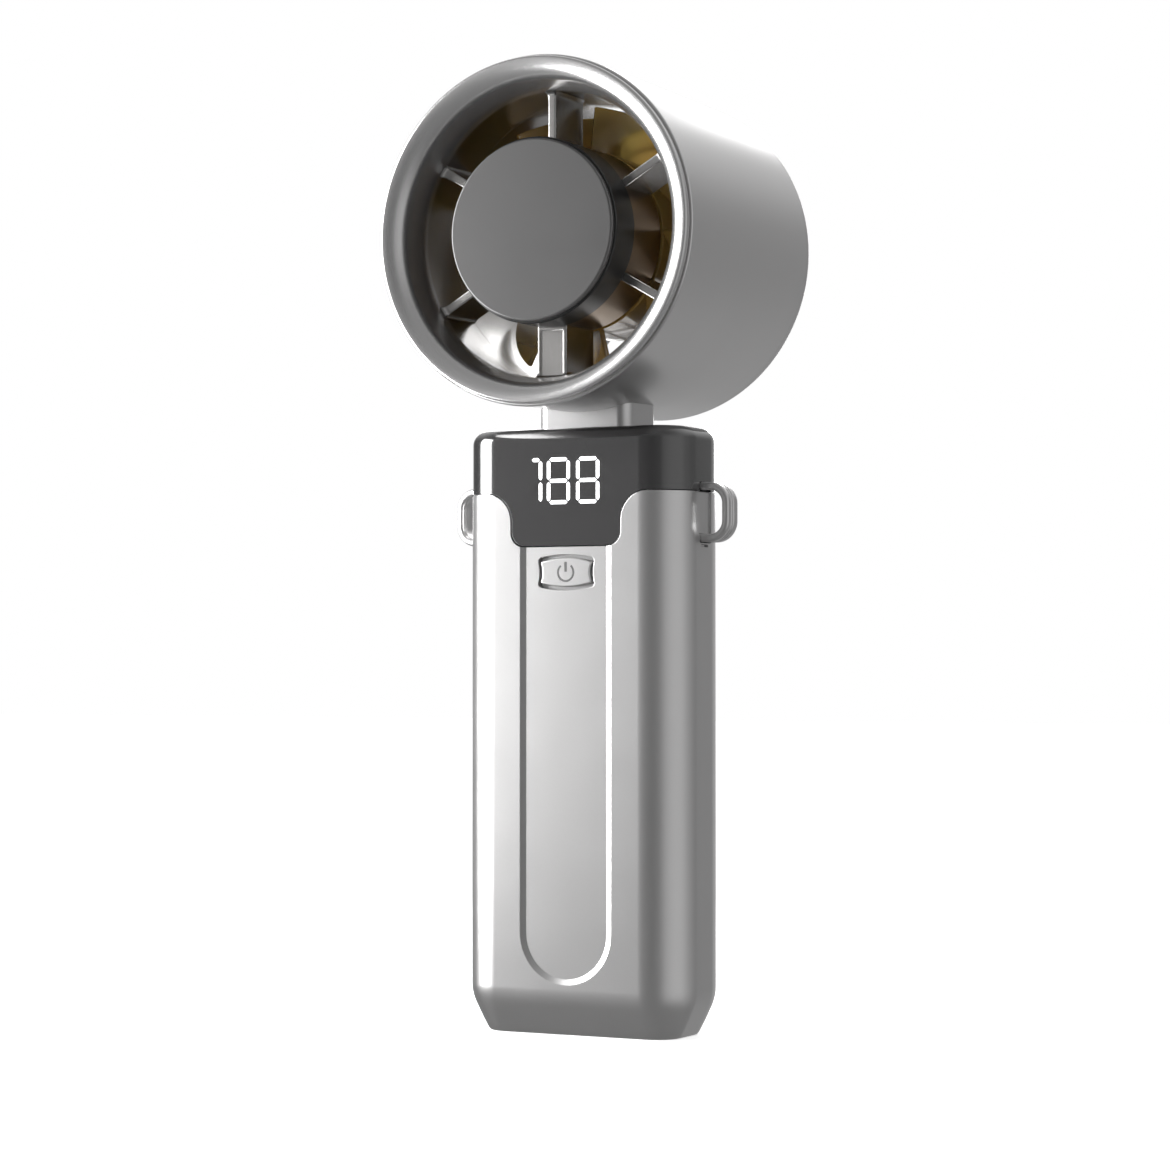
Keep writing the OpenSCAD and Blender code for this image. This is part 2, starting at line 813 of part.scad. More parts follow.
module shaft_bush() {
    color(brass) ring(bush_r, shaft_r, 8.6, 11.6);
}

module shaft_clip() {
    color([0.2, 0.2, 0.22]) ring(2.4, shaft_r, -6.3, -5.9);
}

// Impeller blades: the chord turns around the axis from front to rear, and the sections lie
// on cylinders from the hub to the tip

function blade_point(i, j, side) =
    let (t = i / blade_steps,
         r = hub_r - 0.6 + (blade_r - hub_r + 0.6) * j / blade_rings,
         thick = blade_t * (0.35 + 0.65 * sin(180 * pow(t, 0.7))),
         turn = blade_sweep * (t + 0.25 * t * (1 - t)) + side * thick / 2 / r * 180 / PI)
    [r * cos(turn), r * sin(turn), blade_front_y + (blade_rear_y - blade_front_y) * t];

module blade() {
    row = blade_steps + 1;
    side_count = row * (blade_rings + 1);
    points = [for (side = [-1, 1], j = [0:blade_rings], i = [0:blade_steps]) blade_point(i, j, side)];
    low_faces = [for (j = [0:blade_rings - 1], i = [0:blade_steps - 1])
        let (p = j * row + i) each [[p, p + 1, p + row], [p + 1, p + row + 1, p + row]]];
    high_faces = [for (f = low_faces) [f[2] + side_count, f[1] + side_count, f[0] + side_count]];
    function strip(a, b) = [[a, a + side_count, b], [b, a + side_count, b + side_count]];
    rim_faces = concat(
        [for (i = [0:blade_steps - 1]) each strip(i, i + 1)],
        [for (i = [0:blade_steps - 1]) each strip(blade_rings * row + i + 1, blade_rings * row + i)],
        [for (j = [0:blade_rings - 1]) each strip((j + 1) * row, j * row)],
        [for (j = [0:blade_rings - 1]) each strip(j * row + blade_steps, (j + 1) * row + blade_steps)]);
    polyhedron(points, concat(low_faces, high_faces, rim_faces));
}

module impeller() {
    color(amber) {
        difference() {
            on_axis() rotate_extrude() polygon([[0, can_rear_y], [can_r, can_rear_y],
                [can_r, blade_front_y - 0.2], [hub_r, blade_front_y - 0.2], [hub_r, hub_rear_y - 1],
                [hub_r - 1, hub_rear_y], [0, hub_rear_y]]);
            ring(bush_r, 0, can_rear_y - 1, 11.6);
        }
        on_axis() for (i = [0:blade_count - 1]) rotate(blade_start + 360 * i / blade_count) blade();
    }
}

// The motor's leads run from the hub down the lower vane, along the double wall, and down
// the neck to the main board
lead_points = [
    [0, board_y, axis_z - 11.9], [0, -9, axis_z - 11.9], [0, -10.4, axis_z - 12.5],
    [0, lead_y, axis_z - 13.6], [0, lead_y, axis_z - 17], [0, lead_y, axis_z - 21],
    [0, lead_y, axis_z - 25], [0, lead_y, axis_z - 27.6], [0, -10.6, axis_z - 28.5],
    [0, -9.6, axis_z - 28.9], [0, -6, axis_z - 28.9], [0, -2, axis_z - 28.9],
    [0, 0.4, axis_z - 28.9], [0, 1.4, axis_z - 29.3], [0, neck_y, axis_z - 30.3],
    [0, neck_y, 113], [0, neck_y, 108], [0, neck_y, 103], [0, 1.5, 99.5], [0, 0.4, 97.4],
    [0, -1.4, 96.4], [0, board_front_y + board_t + 0.05, 96]];

// The route stays in the plane X = 0, so each ring of the tube lies square to its tangent
function tangent(k) =
    let (last = len(lead_points) - 1,
         d = lead_points[min(k + 1, last)] - lead_points[max(k - 1, 0)])
    d / norm(d);

function lead_ring(k) = [for (i = [0:lead_sides - 1])
    let (a = 360 * i / lead_sides, t = tangent(k), across = [0, -t[2], t[1]])
    lead_points[k] + lead_r * (cos(a) * [1, 0, 0] + sin(a) * across)];

module motor_leads() {
    count = len(lead_points);
    n = lead_sides;
    walls = [for (k = [0:count - 2], i = [0:n - 1])
        let (a = k * n + i, b = k * n + (i + 1) % n) each [[a, a + n, b], [b, a + n, b + n]]];
    color([0.7, 0.15, 0.12]) polyhedron([for (k = [0:count - 1]) each lead_ring(k)],
        concat(walls, [[for (i = [0:n - 1]) i], [for (i = [n - 1:-1:0]) (count - 1) * n + i]]));
}

sleeve();
top_cap();
display_digits();
display_module();
main_board();
tact_switch();
charge_board();
usb_port();
chassis();
left_cell();
right_cell();
cell_links();
base_screws();
left_loop();
right_loop();
neck();
neck_screws();
barrel_screws();
motor_leads();
barrel_shell();
front_ring();
vane_ring();
hub_cap();
hub_disc();
duct_liner();
motor_base();
motor_screws();
motor_board();
front_bearing();
rear_bearing();
stator_core();
stator_coils();
rear_grille();
power_button();
switch_plunger();
impeller();
rotor_can();
magnet_ring();
motor_shaft();
shaft_bush();
shaft_clip();
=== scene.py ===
import math

import bmesh
import bpy
from mathutils import Matrix, Vector


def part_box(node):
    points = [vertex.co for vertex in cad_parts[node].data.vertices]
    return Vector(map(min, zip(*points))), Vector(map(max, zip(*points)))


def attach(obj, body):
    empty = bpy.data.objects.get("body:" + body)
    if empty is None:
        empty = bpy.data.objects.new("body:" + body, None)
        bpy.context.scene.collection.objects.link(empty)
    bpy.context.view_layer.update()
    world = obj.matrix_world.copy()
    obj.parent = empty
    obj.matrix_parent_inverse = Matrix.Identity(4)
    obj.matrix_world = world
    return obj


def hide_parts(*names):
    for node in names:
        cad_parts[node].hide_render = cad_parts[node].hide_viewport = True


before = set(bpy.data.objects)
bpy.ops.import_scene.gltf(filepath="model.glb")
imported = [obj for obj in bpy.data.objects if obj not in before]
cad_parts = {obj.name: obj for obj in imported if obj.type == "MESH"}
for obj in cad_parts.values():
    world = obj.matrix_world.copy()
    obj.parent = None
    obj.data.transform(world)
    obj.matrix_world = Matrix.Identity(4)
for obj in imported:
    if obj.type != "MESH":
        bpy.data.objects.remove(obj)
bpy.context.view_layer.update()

# Lengths in this script are in millimetres, and make() turns them into metres.
MM = 0.001
MERGE_MM = 1e-4
SMOOTH_DEG = 12
PART_SMOOTH_DEG = 40
SMALL_SMOOTH_DEG = 30
FILLET_STEPS = 10
LATHE_STEPS = 192
FINE_LATHE_STEPS = 256


# ---------------------------------------------------------------- places, from the frame


def box_mm(node):
    low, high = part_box(node)
    return low / MM, high / MM


sleeve_low, sleeve_high = box_mm("sleeve")
cap_low, cap_high = box_mm("top_cap")
shell_low, shell_high = box_mm("barrel_shell")
lip_front_y = box_mm("front_ring")[0].y
vane_low, vane_high = box_mm("vane_ring")
disc_low, disc_high = box_mm("hub_disc")
hub_low, hub_high = box_mm("hub_cap")
liner_low, liner_high = box_mm("duct_liner")
grille_rear_y = box_mm("rear_grille")[1].y
rotor_low, rotor_high = box_mm("impeller")
loop_low, loop_high = box_mm("right_loop")
neck_low, neck_high = box_mm("neck")
button_low, button_high = box_mm("power_button")
usb_low, usb_high = box_mm("usb_port")

BODY_W = sleeve_high.x - sleeve_low.x
BODY_D = sleeve_high.y - sleeve_low.y
FRONT_Y = sleeve_low.y
SEAM_Z = sleeve_high.z
CAP_TOP = cap_high.z
TAB_Z = cap_low.z
AXIS_Z = (shell_low.z + shell_high.z) / 2
BARREL_R = shell_high.x
HUB_R = hub_high.x
DISC_R = disc_high.x
CORNER_R = 8.2
WALL = 1.5
NECK_W = 19.0
NECK_D = 12.7
NECK_CORNER = 2.3
NECK_Y = (neck_low.y + neck_high.y) / 2
# Tools for cutting reach this far past the surface that they cut.
OVER = 3.0


# ---------------------------------------------------------------- mesh helpers


def make(name, verts, faces):
    """A mesh object from millimetre points, with its normals outwards"""
    mesh = bpy.data.meshes.new(name)
    mesh.from_pydata([tuple(v) for v in verts], [], faces)
    bm = bmesh.new()
    bm.from_mesh(mesh)
    bmesh.ops.remove_doubles(bm, verts=bm.verts, dist=MERGE_MM)
    bmesh.ops.recalc_face_normals(bm, faces=bm.faces)
    bm.to_mesh(mesh)
    bm.free()
    mesh.transform(Matrix.Scale(MM, 4))
    piece = bpy.data.objects.new(name, mesh)
    bpy.context.scene.collection.objects.link(piece)
    return piece


def shade(piece, degrees=SMOOTH_DEG):
    """Smooth shading that keeps flats flat and the edges past the given angle sharp"""
    piece.data.shade_smooth()
    piece.data.set_sharp_from_angle(angle=math.radians(degrees))
    flats = piece.modifiers.new("flats", "WEIGHTED_NORMAL")
    flats.keep_sharp = True
    bake(piece)


def bake(piece):
    """Turns a piece's modifiers into its mesh"""
    bpy.context.view_layer.update()
    graph = bpy.context.evaluated_depsgraph_get()
    mesh = bpy.data.meshes.new_from_object(piece.evaluated_get(graph))
    piece.modifiers.clear()
    old = piece.data
    piece.data = mesh
    bpy.data.meshes.remove(old)


def combine(piece, other, operation):
    modifier = piece.modifiers.new("combine", "BOOLEAN")
    modifier.operation = operation
    modifier.solver = "EXACT"
    modifier.object = other
    bake(piece)
    bpy.data.objects.remove(other, do_unlink=True)


def cut(piece, *cutters):
    for cutter in cutters:
        combine(piece, cutter, "DIFFERENCE")


def soften(piece, width, segments=2, degrees=SMOOTH_DEG):
    """Rounds the piece's sharp edges a little"""
    bevel = piece.modifiers.new("soften", "BEVEL")
    bevel.width = width * MM
    bevel.segments = segments
    bevel.limit_method = "ANGLE"
    bevel.angle_limit = math.radians(degrees)
    bevel.use_clamp_overlap = False
    bevel.miter_outer = "MITER_ARC"
    bake(piece)
    shade(piece, PART_SMOOTH_DEG)


def smooth_copy(piece):
    """A copy of a piece before it is cut, whose even shading the cut piece takes back later"""
    skin = bpy.data.objects.new("skin", piece.data.copy())
    bpy.context.scene.collection.objects.link(skin)
    shade(skin, PART_SMOOTH_DEG)
    return skin


def take_normals(piece, skin):
    """What is left of the uncut surface gets its even shading back"""
    transfer = piece.modifiers.new("even_shading", "DATA_TRANSFER")
    transfer.object = skin
    transfer.use_loop_data = True
    transfer.data_types_loops = {"CUSTOM_NORMAL"}
    transfer.loop_mapping = "POLYINTERP_NEAREST"
    transfer.use_max_distance = True
    transfer.max_distance = 0.01 * MM
    bake(piece)
    bpy.data.objects.remove(skin, do_unlink=True)


def join(name, pieces):
    bm = bmesh.new()
    for piece in pieces:
        bm.from_mesh(piece.data)
    mesh = bpy.data.meshes.new(name)
    bm.to_mesh(mesh)
    bm.free()
    for piece in pieces:
        bpy.data.objects.remove(piece, do_unlink=True)
    joined = bpy.data.objects.new(name, mesh)
    bpy.context.scene.collection.objects.link(joined)
    return joined


def fillet(points, steps=FILLET_STEPS):
    """Rounds the corners of a closed outline whose points are (x, y, radius)"""
    outline = []
    for i, (x, y, radius) in enumerate(points):
        corner = Vector((x, y))
        if radius <= 0:
            outline.append((x, y))
            continue
        before = (Vector(points[i - 1][:2]) - corner).normalized()
        after = (Vector(points[(i + 1) % len(points)][:2]) - corner).normalized()
        half = before.angle(after) / 2
        centre = corner + (before + after).normalized() * radius / math.sin(half)
        start = corner + before * radius / math.tan(half) - centre
        end = corner + after * radius / math.tan(half) - centre
        first = math.atan2(start.y, start.x)
        turn = (math.atan2(end.y, end.x) - first + math.pi) % math.tau - math.pi
        for k in range(steps + 1):
            angle = first + turn * k / steps
            outline.append((centre.x + radius * math.cos(angle), centre.y + radius * math.sin(angle)))
    return outline


def rounded_rect(w, d, r, steps=14):
    corners = [(w / 2, -d / 2, r), (w / 2, d / 2, r), (-w / 2, d / 2, r), (-w / 2, -d / 2, r)]
    return fillet(corners, steps)


def loft(name, loops):
    """A closed solid through loops with the same number of points"""
    n = len(loops[0])
    verts = [p for loop in loops for p in loop]
    faces = [
        (k * n + i, k * n + (i + 1) % n, (k + 1) * n + (i + 1) % n, (k + 1) * n + i)
        for k in range(len(loops) - 1)
        for i in range(n)
    ]
    faces.append(tuple(reversed(range(n))))
    faces.append(tuple((len(loops) - 1) * n + i for i in range(n)))
    return make(name, verts, faces)


def post(name, w, d, r, levels, middle_y=0.0):
    """An upright rounded post. Each level is (z, how far the outline is inset)"""
    loops = []
    for z, inset in levels:
        outline = rounded_rect(w - 2 * inset, d - 2 * inset, max(r - inset, 0.2))
        loops.append([(x, y + middle_y, z) for x, y in outline])
    return loft(name, loops)


def upright(name, x, y, r, low, high, steps=32):
    """A round upright bar"""
    angles = [math.tau * k / steps for k in range(steps)]
    return loft(name, [[(x + r * math.cos(a), y + r * math.sin(a), z) for a in angles] for z in (low, high)])


def facing(name, outline, y0, y1):
    """A flat outline of (x, z) given depth from y0 to y1"""
    return loft(name, [[(x, y, z) for x, z in outline] for y in (y0, y1)])


def lathe(name, profile, steps=LATHE_STEPS):
    """Turns a closed profile of (radius, y) round the barrel's axis"""
    n = len(profile)
    verts = []
    faces = []
    for s in range(steps):
        angle = math.tau * s / steps
        verts += [(r * math.cos(angle), y, AXIS_Z + r * math.sin(angle)) for r, y in profile]
        after = (s + 1) % steps
        faces += [(s * n + i, s * n + (i + 1) % n, after * n + (i + 1) % n, after * n + i)
                  for i in range(n) if max(profile[i][0], profile[(i + 1) % n][0]) > 0]
    return make(name, verts, faces)


def around(name, radial_loops, angle):
    """A loft whose loops are (radius, across, y), laid out along one angle seen from the front"""
    c, s = math.cos(math.radians(angle)), math.sin(math.radians(angle))
    loops = [[(r * c - a * s, y, AXIS_Z + r * s + a * c) for r, a, y in loop] for loop in radial_loops]
    return loft(name, loops)


# ---------------------------------------------------------------- materials


class Nodes:
    """A small writer for one material's node tree"""

    def __init__(self, name):
        self.material = bpy.data.materials.new(name)
        self.material.use_nodes = True
        self.tree = self.material.node_tree
        self.shader = self.tree.nodes["Principled BSDF"]
        self.coords = self.tree.nodes.new("ShaderNodeTexCoord").outputs["Object"]

    def link(self, source, target):
        self.tree.links.new(source, target)

    def noise(self, scale, detail=4.0, roughness=0.55, stretch=(1, 1, 1)):
        mapping = self.tree.nodes.new("ShaderNodeMapping")
        mapping.inputs["Scale"].default_value = stretch
        self.link(self.coords, mapping.inputs["Vector"])
        node = self.tree.nodes.new("ShaderNodeTexNoise")
        node.inputs["Scale"].default_value = scale
        node.inputs["Detail"].default_value = detail
        node.inputs["Roughness"].default_value = roughness
        self.link(mapping.outputs["Vector"], node.inputs["Vector"])
        return node.outputs["Fac"]

    def flakes(self, scale):
        node = self.tree.nodes.new("ShaderNodeTexVoronoi")
        node.inputs["Scale"].default_value = scale
        self.link(self.coords, node.inputs["Vector"])
        return node.outputs["Color"]

    def ramp(self, source, low, high, start=0.3, end=0.7):
        """Maps a 0 to 1 value between two grey levels or two colours"""
        node = self.tree.nodes.new("ShaderNodeValToRGB")
        stops = node.color_ramp.elements
        for stop, position, value in ((stops[0], start, low), (stops[1], end, high)):
            stop.position = position
            stop.color = (*value, 1) if isinstance(value, tuple) else (value, value, value, 1)
        self.link(source, node.inputs["Fac"])
        return node.outputs["Color"]

    def mix(self, factor, a, b, blend="MIX"):
        node = self.tree.nodes.new("ShaderNodeMix")
        node.data_type = "RGBA"
        node.blend_type = blend
        for socket, value in ((node.inputs["Factor"], factor), (node.inputs["A"], a), (node.inputs["B"], b)):
            if isinstance(value, bpy.types.NodeSocket):
                self.link(value, socket)
            elif isinstance(value, tuple):
                socket.default_value = (*value, 1)
            else:
                socket.default_value = value
        return node.outputs["Result"]

    def bump(self, height, strength, distance):
        node = self.tree.nodes.new("ShaderNodeBump")
        node.inputs["Strength"].default_value = strength
        node.inputs["Distance"].default_value = distance
        previous = self.shader.inputs["Normal"]
        if previous.is_linked:
            self.link(previous.links[0].from_socket, node.inputs["Normal"])
        self.link(height, node.inputs["Height"])
        self.link(node.outputs["Normal"], previous)

    def edge_wear(self, reach=0.00025):
        """1 along edges, where the rounded normal leaves the surface's own, and 0 elsewhere"""
        rounded = self.tree.nodes.new("ShaderNodeBevel")
        rounded.samples = 3
        rounded.inputs["Radius"].default_value = reach
        geometry = self.tree.nodes.new("ShaderNodeNewGeometry")
        match = self.tree.nodes.new("ShaderNodeVectorMath")
        match.operation = "DOT_PRODUCT"
        self.link(rounded.outputs["Normal"], match.inputs[0])
        self.link(geometry.outputs["Normal"], match.inputs[1])
        return self.ramp(match.outputs["Value"], 1.0, 0.0, 0.8, 0.985)


def plastic(name, color, roughness, metallic=0.0, vary=0.06, grain=900.0, grain_depth=0.00001, coat=0.0,
            coat_roughness=0.1, coat_ior=1.5, wear=0.25, flake=0.0, specular=0.5, smudges=0.13):
    """Moulded or painted plastic: broad colour and gloss variation, fine grain, rubbed edges"""
    n = Nodes(name)
    broad = n.noise(38.0)
    fine = n.noise(grain, detail=3.0)
    dark = tuple(c * (1 - vary) for c in color)
    light = tuple(min(c * (1 + vary), 1.0) for c in color)
    base = n.ramp(broad, dark, light)
    if flake:
        base = n.mix(flake, base, n.ramp(n.flakes(5200.0), dark, light, 0.2, 0.8), "MIX")
    if wear:
        rubbed = tuple(min(c * 1.35 + 0.03, 1.0) for c in color)
        base = n.mix(n.ramp(n.edge_wear(), 0.0, wear, 0.0, 1.0), base, rubbed)
    n.link(base, n.shader.inputs["Base Color"])
    smudge = n.noise(95.0, detail=6.0)
    n.link(n.ramp(smudge, roughness * (1 - smudges), roughness * (1 + smudges)), n.shader.inputs["Roughness"])
    n.bump(fine, 0.35, grain_depth)
    n.shader.inputs["Metallic"].default_value = metallic
    n.shader.inputs["Specular IOR Level"].default_value = specular
    n.shader.inputs["Coat Weight"].default_value = coat
    n.shader.inputs["Coat Roughness"].default_value = coat_roughness
    n.shader.inputs["Coat IOR"].default_value = coat_ior
    return n.material


def metal(name, color, roughness, brush=(1, 1, 1), scale=700.0, depth=0.00001):
    """Bare or plated metal with fine tool marks"""
    n = Nodes(name)
    marks = n.noise(scale, detail=5.0, stretch=brush)
    stain = n.noise(60.0)
    base = n.ramp(stain, tuple(c * 0.86 for c in color), color)
    n.link(base, n.shader.inputs["Base Color"])
    n.link(n.ramp(marks, roughness * 0.75, roughness * 1.3), n.shader.inputs["Roughness"])
    n.bump(marks, 0.4, depth)
    n.shader.inputs["Metallic"].default_value = 1.0
    return n.material


def smoky_amber():
    """Translucent smoked plastic of the impeller, with orange swirls and darker patches that vary at random
    """
    n = Nodes("smoky_amber")
    broad = n.noise(60.0)
    swirl = n.noise(24.0, detail=2.0, stretch=(1, 3, 1))
    base = n.mix(n.ramp(swirl, 0.0, 1.0, 0.35, 0.65), (0.44, 0.33, 0.09), (0.54, 0.27, 0.06))
    base = n.mix(n.ramp(broad, 0.0, 0.4), base, (0.34, 0.28, 0.10))
    n.link(base, n.shader.inputs["Base Color"])
    n.link(n.ramp(n.noise(140.0), 0.14, 0.24), n.shader.inputs["Roughness"])
    n.bump(n.noise(500.0), 0.2, 0.00001)
    n.shader.inputs["Transmission Weight"].default_value = 0.35
    n.shader.inputs["IOR"].default_value = 1.5
    n.shader.inputs["Coat Weight"].default_value = 0.4
    n.shader.inputs["Coat Roughness"].default_value = 0.06
    return n.material


def lit_digits():
    """White light guides whose glow varies a little at random"""
    n = Nodes("lit_digits")
    glow = n.noise(320.0, detail=2.0)
    n.link(n.ramp(glow, (0.93, 0.95, 1.0), (1.0, 1.0, 1.0)), n.shader.inputs["Emission Color"])
    n.shader.inputs["Emission Strength"].default_value = 1.3
    n.link(n.ramp(glow, 0.85, 0.95), n.shader.inputs["Base Color"])
    n.shader.inputs["Roughness"].default_value = 0.4
    return n.material


def board():
    """Green solder mask over copper tracks"""
    n = Nodes("circuit_board")
    tracks = n.ramp(n.noise(220.0, detail=1.0, stretch=(1, 1, 0.4)), 0.0, 1.0, 0.5, 0.52)
    base = n.mix(tracks, (0.012, 0.09, 0.045), (0.03, 0.16, 0.08))
    n.link(base, n.shader.inputs["Base Color"])
    n.link(n.ramp(n.noise(150.0), 0.3, 0.45), n.shader.inputs["Roughness"])
    n.bump(tracks, 0.4, 0.00002)
    return n.material


def windings():
    """Enamelled copper wire, wound in fine turns"""
    n = Nodes("copper_windings")
    wave = n.tree.nodes.new("ShaderNodeTexWave")
    wave.inputs["Scale"].default_value = 700.0
    wave.inputs["Distortion"].default_value = 0.4
    n.link(n.coords, wave.inputs["Vector"])
    n.link(n.ramp(wave.outputs["Fac"], (0.35, 0.12, 0.04), (0.8, 0.36, 0.16), 0.1, 0.9),
           n.shader.inputs["Base Color"])
    n.bump(wave.outputs["Fac"], 0.8, 0.0001)
    n.link(n.ramp(n.noise(200.0), 0.25, 0.4), n.shader.inputs["Roughness"])
    n.shader.inputs["Metallic"].default_value = 1.0
    return n.material


# Roughness stays clear of about 0.27 on smooth pieces: where a surface's gloss crossed that value, the
# renders showed wavy marks.
SILVER = plastic("silver_paint", (0.62, 0.615, 0.615), 0.3, metallic=0.96, vary=0.012, flake=0.5,
                 grain=2400.0, grain_depth=0.000003, wear=0, smudges=0.03)
RING_SILVER = plastic("ring_silver", (0.58, 0.575, 0.575), 0.25, metallic=0.92, vary=0.015, flake=0.5,
                      grain=2400.0, grain_depth=0.000002, wear=0, smudges=0.04)
DUCT_SILVER = plastic("duct_silver", (0.45, 0.44, 0.43), 0.25, metallic=1.0, vary=0.04, grain=700.0,
                      grain_depth=0.000003, wear=0, smudges=0.06)
VANE_SILVER = plastic("vane_silver", (0.47, 0.46, 0.45), 0.25, metallic=0.97, vary=0.04, grain=1500.0,
                      grain_depth=0.000005, wear=0, smudges=0.06)
TUBE_BRONZE = plastic("tube_bronze", (0.17, 0.12, 0.075), 0.31, metallic=0.9, vary=0.1, grain=1500.0,
                      grain_depth=0.000003, wear=0, smudges=0.05)
SMOKE = plastic("smoke_cap", (0.015, 0.0145, 0.015), 0.2, vary=0.1, coat=1.0, coat_roughness=0.05,
                coat_ior=1.8, grain=1200.0, grain_depth=0.000002, wear=0, smudges=0.08)
HUB_BLACK = plastic("hub_black", (0.008, 0.008, 0.008), 0.34, vary=0.15, specular=0.35, wear=0)
DISC_GREY = plastic("disc_grey", (0.038, 0.037, 0.037), 0.5, coat=0.65, coat_roughness=0.25, coat_ior=1.6,
                    vary=0.05, grain=1600.0, wear=0)
BLACK_PLASTIC = plastic("black_plastic", (0.02, 0.02, 0.021), 0.5, vary=0.15)
DARK_PLASTIC = plastic("dark_plastic", (0.06, 0.06, 0.065), 0.55, vary=0.12, grain_depth=0.00003)
MARK_GREY = plastic("mark_grey", (0.09, 0.09, 0.09), 0.5, vary=0.1)
IVORY = plastic("switch_ivory", (0.72, 0.68, 0.55), 0.45, vary=0.06)
CELL_WRAP = plastic("cell_wrap", (0.03, 0.13, 0.3), 0.34, vary=0.12, coat=0.4)
RUBBER = plastic("lead_rubber", (0.3, 0.02, 0.015), 0.6, vary=0.2)
STEEL = metal("plated_steel", (0.62, 0.62, 0.63), 0.38)
SCREW = metal("screw_steel", (0.5, 0.5, 0.52), 0.38, scale=1200.0)
BRIGHT_STEEL = metal("bearing_steel", (0.7, 0.7, 0.72), 0.15, brush=(1, 8, 1))
ALLOY = metal("motor_alloy", (0.6, 0.6, 0.62), 0.38, scale=400.0, depth=0.00003)
LAMINATED = metal("core_steel", (0.22, 0.22, 0.24), 0.45, brush=(0.05, 12, 0.05), scale=500.0,
                  depth=0.00004)
NICKEL = metal("nickel", (0.7, 0.68, 0.62), 0.38)
BRASS = metal("brass_insert", (0.75, 0.56, 0.26), 0.2)
MAGNET = metal("magnet", (0.12, 0.12, 0.135), 0.5, scale=300.0)
AMBER = smoky_amber()
DIGITS = lit_digits()
BOARD = board()
COPPER = windings()


def finish_piece(piece, material, body, node):
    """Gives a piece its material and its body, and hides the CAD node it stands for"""
    piece.data.materials.clear()
    piece.data.materials.append(material)
    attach(piece, body)
    if node:
        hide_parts(node)


# ---------------------------------------------------------------- outlines on the handle's front

TAB_HALF_W = 11.3
TAB_SHOULDER = 5.5
TAB_CORNER = 2.7
SEAM_GAP = 0.14
CAP_EDGE_Z = SEAM_Z + 0.12
CAP_GAP = 0.1
CAP_ROUND = 2.6
CAP_ROOF = 1.8
RECESS_OUTER = 9.45
RECESS_INNER = 8.4
RECESS_DEPTH = 0.42
RECESS_OVER = 2.0
RECESS_Z = 9.5
BUTTON_HALF_W = 6.0
BUTTON_HALF_H = 2.6
BUTTON_BOW = 0.7
BUTTON_PINCH = 0.45
BUTTON_CORNER = 0.75
BUTTON_Z = (button_low.z + button_high.z) / 2
BUTTON_GROOVE = 0.62


def tab_outline(grow, top):
    """The display tab seen from the front: shoulders curve in, and the lower corners are round"""
    wide = TAB_HALF_W + TAB_SHOULDER
    neck_x = TAB_HALF_W + grow
    low = TAB_Z - grow
    seam = CAP_EDGE_Z - grow
    shoulder = TAB_SHOULDER - grow - 0.02
    half = [(wide, top, 0), (wide, seam, 0), (neck_x, seam, shoulder), (neck_x, low, TAB_CORNER)]
    mirror = [(-x, z, r) for x, z, r in reversed(half)]
    return fillet(half + mirror, 12)


def stadium(half_w, low, top, steps=28):
    """The thumb recess: straight sides and a round lower end"""
    centre_z = low + half_w
    arc = [(half_w * math.cos(math.pi * k / steps), centre_z - half_w * math.sin(math.pi * k / steps))
           for k in range(steps + 1)]
    return [(half_w, top)] + arc + [(-half_w, top)]


def button_outline(grow):
    """The button bows out at its top and bottom, pinches in at its sides and has round corners"""
    w = BUTTON_HALF_W + grow
    h = BUTTON_HALF_H + grow
    corner = BUTTON_CORNER + grow / 2
    across = [k / 6 - 1 for k in range(1, 12)]
    half = [(w * t, h + BUTTON_BOW * (1 - t * t), 0) for t in across] + [(w, h, corner)]
    down = [k * 0.4 - 1 for k in range(1, 5)]
    half += [(w - BUTTON_PINCH * (1 - t * t), -h * t, 0) for t in down] + [(w, -h, corner)]
    points = half + [(-x, -z, r) for x, z, r in half]
    return [(x, BUTTON_Z + z) for x, z in fillet(points, 5)]


# ---------------------------------------------------------------- handle


# Height of each station of the foot and how far the wall leans inwards there, in degrees
FOOT_STATIONS = [(8.8, 0), (5.2, 24), (0.5, 28), (0.0, 62)]
FOOT_FLOOR_Z = 2.0
FOOT_TOP_Z = 9.0
FOOT_WALL = 3.8
BASE_SCREW_X = 12.0
BASE_SCREW_R = 1.9
BASE_SCREW_DEEP = 1.2


def foot_levels():
    """The foot leaves the walls in a soft curve, tapers nearly straight and rounds under at its edge"""
    levels = []
    inset = 0.0
    steps = 10
    for (top, lean_top), (low, lean_low) in zip(FOOT_STATIONS, FOOT_STATIONS[1:]):
        rise = (top - low) / steps
        for k in range(steps):
            levels.append((top - rise * k, inset))
            inset += rise * math.tan(math.radians(lean_top + (lean_low - lean_top) * (k + 0.5) / steps))
    levels.append((0.0, inset))
    return levels[::-1]


